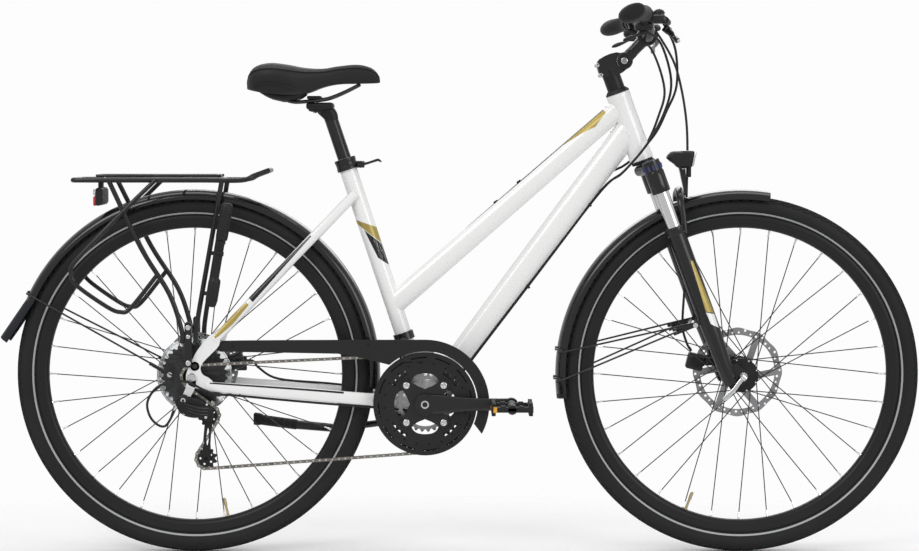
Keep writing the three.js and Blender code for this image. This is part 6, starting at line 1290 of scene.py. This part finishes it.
def make_front_derailleur():
    front = Piece("front_derailleur_cage")
    outer, inner = -62.9, -55.1
    far, skin, near = (cover_arc(radius, 80, 112, 14) for radius in (112.8, 112.9, 102.3))
    for y in (outer, inner):
        front.plate(near + far[::-1], y - 0.55, y + 0.55, steel)
    front.plate(cover_arc(111.7, 80, 112, 14) + skin[::-1], outer, inner, steel)
    band = BRACKET + SEAT_UP * 127.7
    clamp = [(17.4, 0), (20, 0), (20.5, 0.6), (20.5, 15.4), (20, 16), (17.4, 16)]
    front.lathe(clamp, black, band, SEAT_UP, 48)
    link, start = BRACKET + outward(radians(112)) * 112.8 * 0.98 + Y * inner, band + SEAT_UP * 8 - Y * 17
    front.loft([(start, 13, 10), (start.lerp(link, 0.5), 12, 10), (link, 10, 8)], black, 20, 3, 4)
    front.finish("frame", "front_derailleur")


def make_stand():
    piece = Piece("kickstand_blade")
    back = STAND_PIVOT - STAND_AXIS * 5.5
    root, top, foot, end = [back + vec(x, 12 * min(1, -x / 139), z) for x, z in
                            ((-44, -13), (-139, -25), (-215, -18), (-302, -6))]
    hub = [(POLE, -10.8), (10, -10.8), (11, -10), (11, 0), (10, 0.6), (POLE, 0.6)]
    piece.lathe(hub, black, STAND_PIVOT, STAND_AXIS, 36)
    piece.tube(smooth([back, root, top], 6), 6.9, black, 24)
    piece.tube([top, foot], 9, black, 24, radii=[8.4, 9.4])
    piece.tube([foot, end - vec(-14, 0, 2)], 10.4, rubber, 24)
    for k in range(5):
        at = foot.lerp(end, 0.15 + k * 0.14)
        piece.lathe([(10.3, -1.6), (10.6, 0), (10.3, 1.6)], plastic, at, (end - foot).normalized(), 24)
    lofted(piece, end, [((18, 0, -1.4), 20, 20), ((12, 0, -1), 24, 21), ((2, 0, 0), 25, 21),
                        ((0, 0, 0), 22, 19)], rubber, 28, 3.4, 1)
    piece.finish("kickstand", "kickstand_leg")


def make_pump():
    down, top = -outward(radians(80.4)), vec(-453, -97, 700)
    barrel = Piece("pump_tube")
    profile = [(7, 74.4), (9, 74.8), (9, 80), (7.6, 82), (7.6, 148), (11.4, 152), (12, 158), (12, 192),
               (10, 203), (6, 205.8), (POLE, 206)]
    barrel.lathe(profile, plastic, top, down, 36)
    leg = vec(-491, -71.4, 605), vec(-515, -79, 466)
    for t in (100, 180):
        start = top + down * t
        at = leg[0].lerp(leg[1], (leg[0].z - start.z) / (leg[0].z - leg[1].z))
        barrel.tube([start, start.lerp(at, 0.83)], 4, plastic, 12)
        barrel.lathe([(8.8, -4), (9, -3.6), (9, 3.6), (8.8, 4)], satin, start, down, 28)
    barrel.finish("frame", "pump_barrel")
    handle = Piece("pump_grip")
    grip = [(POLE, 0), (8, 0.2), (11, 3), (11.8, 8), (11.9, 64), (11.4, 72), (9, 74), (4, 74)]
    handle.lathe(grip, plastic, top, down, 40)
    for k in range(9):
        handle.lathe([(11.85, -0.9), (12, 0), (11.85, 0.9)], rubber, top + down * (16 + k * 5), down, 36)
    handle.lathe([(4, 70), (4, 100)], steel, top, down, 16)
    handle.finish("pump", "pump_handle")


def make_headlight():
    piece = Piece("headlight_unit")
    outline = [(-28, 5), (-27.4, 2), (-22, -3), (-13, -9), (-8, -14.6), (-3, -17), (14, -17), (21, -14.6),
               (25, 0), (26.6, 12), (26, 16.6), (12, 17), (-14, 16.4), (-20, 15), (-25, 10)]
    half, rows = 26, []
    for y in (-half + 2 * half * i / 12 for i in range(13)):
        fill = 1 - 0.22 * max(0, abs(y) / half - 0.62) / 0.38
        rows.append([vec(440 + x * fill, y, 784 + z * fill) for x, z in outline])
    piece.rings(rows, plastic)
    piece.slab((3.4, 45, 30), (464.2, 0, 785), silver, 0.2, 1.4)
    piece.slab((3.6, 42, 27), (465.4, 0, 785), clear_lens, 0.2, 1.6)
    for y in (-9, 0, 9):
        piece.slab((1.2, 1.2, 25), (466.8, y, 785), silver, 0.2, 0.4)
    piece.slab((20, 40, 1.2), (452, 0, 801.2), silver, 0, 0.4)
    piece.plate([(434.4, 774), (448.4, 774), (452, 712.4), (448.2, 712.2), (438, 760)], -8.8, 8.8, black)
    piece.slab((9, 15, 22), (456, 0, 760), plastic, 0, 2)
    for side in (-1, 1):
        piece.bolt((444, side * 9, 768), 3.6, 1, silver, Y * side)
    piece.finish("lowers", "headlight", bevel=0.5)


make_axles()
make_rear_derailleur()
make_cage()
make_front_derailleur()
make_stand()
make_pump()
make_headlight()

# Cables and hoses, from lever to caliper or derailleur
REAR_SHIFT = [(349, -139, 1038.5), (350, -136, 1038.2), (362, -126, 1033), (392, -104, 1008), (414, -72, 940),
              (406, -44, 884), (374, -36, 820), (326, -33, 762), (280.6, -6.7, 720.9), (156.9, -6.8, 558.9),
              (13, -9.1, 369.6), (-44.4, -24, 289.4), (-54.4, -24, 279.4), (-68, -24, 275.8),
              (-81.6, -24, 279.4), (-88, -33.5, 281), (-100, -34.5, 286), (-125, -35.5, 288.5),
              (-165, -37.5, 292.6), (-265.3, -47.5, 301.6), (-365.6, -57.5, 311.5), (-449.1, -65.8, 320.3),
              (-479, -74, 322.5), (-505, -86, 334), (-540, -90.5, 350), (-588, -94, 342), (-612, -95, 310),
              (-604, -95, 276), (-578, -93, 262), (-556, -88, 300)]
FRONT_SHIFT = [(349, 139, 1038.5), (350, 136, 1038.2), (364, 125, 1032), (392, 100, 1000), (412, 60, 925),
               (398, 34, 870), (372, 28.5, 812), (326, 28.5, 757), (280.6, 6.7, 720.9), (156.9, 6.8, 558.9),
               (13, 3.4, 369.6), (-44.4, -5.8, 289.4), (-54.4, -5.8, 279.4), (-68, -5.8, 275.8),
               (-81.6, -5.8, 279.4), (-91.6, -5.8, 289.4), (-95.2, -5.8, 303), (-92.7, -5.8, 314.5),
               (-101.5, -12.5, 325), (-108, -18, 350), (-116, -25.5, 380), (-116, -29.5, 408)]
REAR_HOSE = [(386, -137.2, 1053), (387, -133.5, 1052.6), (397, -123, 1043), (420, -96, 998), (428, -34, 930),
             (412, 10, 880), (388, 34, 830), (336, 36, 776), (266, 26.6, 731.9), (143.3, 27, 569.2),
             (-1.7, 27.4, 380.6), (-45, 29.5, 342), (-80, 34, 333.5), (-112, 35.8, 323.5),
             (-165, 37.5, 323.4), (-265.3, 47.5, 332.4), (-365.6, 57.5, 340.6), (-405, 60, 362),
             (-416.5, 53, 377), (-431.8, 50.5, 378.5)]
FRONT_HOSE = [(386, 137.2, 1053), (387, 133.5, 1052.6), (400, 122, 1042), (432, 100, 985), (446, 70, 930),
              (456, 56, 860), (458, 50, 790), (456, 44, 700), (456, 40, 600), (452, 39.5, 520),
              (449, 40, 450), (458, 42.5, 414), (467.2, 44, 398.5)]


def make_line(piece, run, end_paint):
    """Cable along a run with a ferrule at each end."""
    points = [Vector(p) for p in run]
    piece.tube(smooth(points, 6), 2.45, plastic, 12)
    for a, b in ((points[0], points[2]), (points[-1], points[-2])):
        piece.tube([a, a + (b - a).normalized() * 9], 2.6, end_paint, 12)


def make_guides(piece):
    """Cable guides under the bottom bracket and the down tube."""
    piece.slab((20, 38, 5), (-68, -14.4, 275.8), plastic, 0, 1.4)
    below = (BRACKET - DOWN_ROOT).normalized().cross(Y)
    for share in (0.25, 0.55, 0.85):
        piece.slab((10, 22, 5), DOWN_ROOT.lerp(BRACKET, share) + below * 26.4, plastic, radians(52.6), 1.2)


def make_lines():
    """Cables and hoses, each made with its transform baked in and not attached to a body."""
    shift = Piece("shift_lines")
    make_line(shift, REAR_SHIFT, silver)
    make_line(shift, FRONT_SHIFT, silver)
    make_guides(shift)
    shift.finish("frame", "shift_cables", bend=0.765)
    for name, body, node, run, low in (("rear_hose_line", "frame", "rear_brake_hose", REAR_HOSE, 0.765),
                                       ("front_hose_line", "lowers", "front_brake_hose", FRONT_HOSE, 0.6)):
        hose = Piece(name)
        make_line(hose, run, satin)
        hose.finish(body, node, bend=low)


make_lines()

# Studio: pale floor, white background, soft lights and the photograph's camera
scene = bpy.context.scene
scene.view_settings.view_transform = "Standard"
floor_mesh = bpy.data.meshes.new("floor")
floor_mesh.from_pydata([(-6, -6, 0), (6, -6, 0), (6, 6, 0), (-6, 6, 0)], [], [(0, 1, 2, 3)])
floor = bpy.data.objects.new("floor", floor_mesh)
scene.collection.objects.link(floor)
pale = shader("pale_floor", (0.86, 0.86, 0.86), 0.7, vary=0.01, grain=40, bump=0.0)
floor_mesh.materials.append(pale)
nodes, links = pale.node_tree.nodes, pale.node_tree.links
place, reach = nodes.new("ShaderNodeTexCoord"), nodes.new("ShaderNodeVectorMath")
reach.operation = "LENGTH"
squash = nodes.new("ShaderNodeMapping")
squash.inputs["Scale"].default_value = (0.62, 1.5, 1)
fade, blend = nodes.new("ShaderNodeMapRange"), nodes.new("ShaderNodeMixShader")
clear = nodes.new("ShaderNodeBsdfTransparent")
fade.interpolation_type = "SMOOTHERSTEP"
fade.inputs["From Min"].default_value = 0.35
fade.inputs["From Max"].default_value = 1.5
links.new(place.outputs["Object"], squash.inputs["Vector"])
links.new(squash.outputs["Vector"], reach.inputs[0])
links.new(reach.outputs["Value"], fade.inputs["Value"])
links.new(fade.outputs["Result"], blend.inputs[0])
links.new(nodes["Principled BSDF"].outputs[0], blend.inputs[1])
links.new(clear.outputs[0], blend.inputs[2])
links.new(blend.outputs[0], nodes["Material Output"].inputs["Surface"])

world = bpy.data.worlds.new("studio")
scene.world = world
world.use_nodes = True
tree = world.node_tree
glow = tree.nodes["Background"]
glow.inputs["Color"].default_value = (1, 1, 1, 1)
glow.inputs["Strength"].default_value = 0.6
backdrop = tree.nodes.new("ShaderNodeBackground")
backdrop.inputs["Color"].default_value = (1, 1, 1, 1)
backdrop.inputs["Strength"].default_value = 0.98
seen, swap = tree.nodes.new("ShaderNodeLightPath"), tree.nodes.new("ShaderNodeMixShader")
either = tree.nodes.new("ShaderNodeMath")
either.operation = "MAXIMUM"
tree.links.new(seen.outputs["Is Camera Ray"], either.inputs[0])
tree.links.new(seen.outputs["Is Transmission Ray"], either.inputs[1])
tree.links.new(either.outputs[0], swap.inputs[0])
tree.links.new(glow.outputs[0], swap.inputs[1])
tree.links.new(backdrop.outputs[0], swap.inputs[2])
tree.links.new(swap.outputs[0], tree.nodes["World Output"].inputs["Surface"])


def light(name, at, aim, size, power):
    lamp = bpy.data.lights.new(name, "AREA")
    lamp.shape, lamp.size, lamp.size_y, lamp.energy = "RECTANGLE", size[0], size[1], power
    holder = bpy.data.objects.new(name, lamp)
    holder.location = at
    holder.rotation_euler = (Vector(aim) - Vector(at)).to_track_quat("-Z", "Y").to_euler()
    scene.collection.objects.link(holder)


light("key", (-2.6, -3.4, 3.4), (0, 0, 0.5), (2.6, 1.8), 70)
light("fill", (3.2, -3.0, 1.9), (0, 0, 0.5), (2.2, 2.2), 44)
light("top", (0, 0.4, 3.8), (0, 0, 0.4), (4.2, 1.6), 48)
light("back", (0.6, 3.6, 2.4), (0, 0, 0.6), (3.6, 1.6), 40)

camera_data = bpy.data.cameras.new("camera")
camera_data.lens, camera_data.sensor_width = 96.4, 36
camera = bpy.data.objects.new("camera", camera_data)
camera.location = (0, -4.9, 0.83)
camera.rotation_euler = (radians(90 - 3.236), 0, 0)
scene.collection.objects.link(camera)
scene.camera = camera
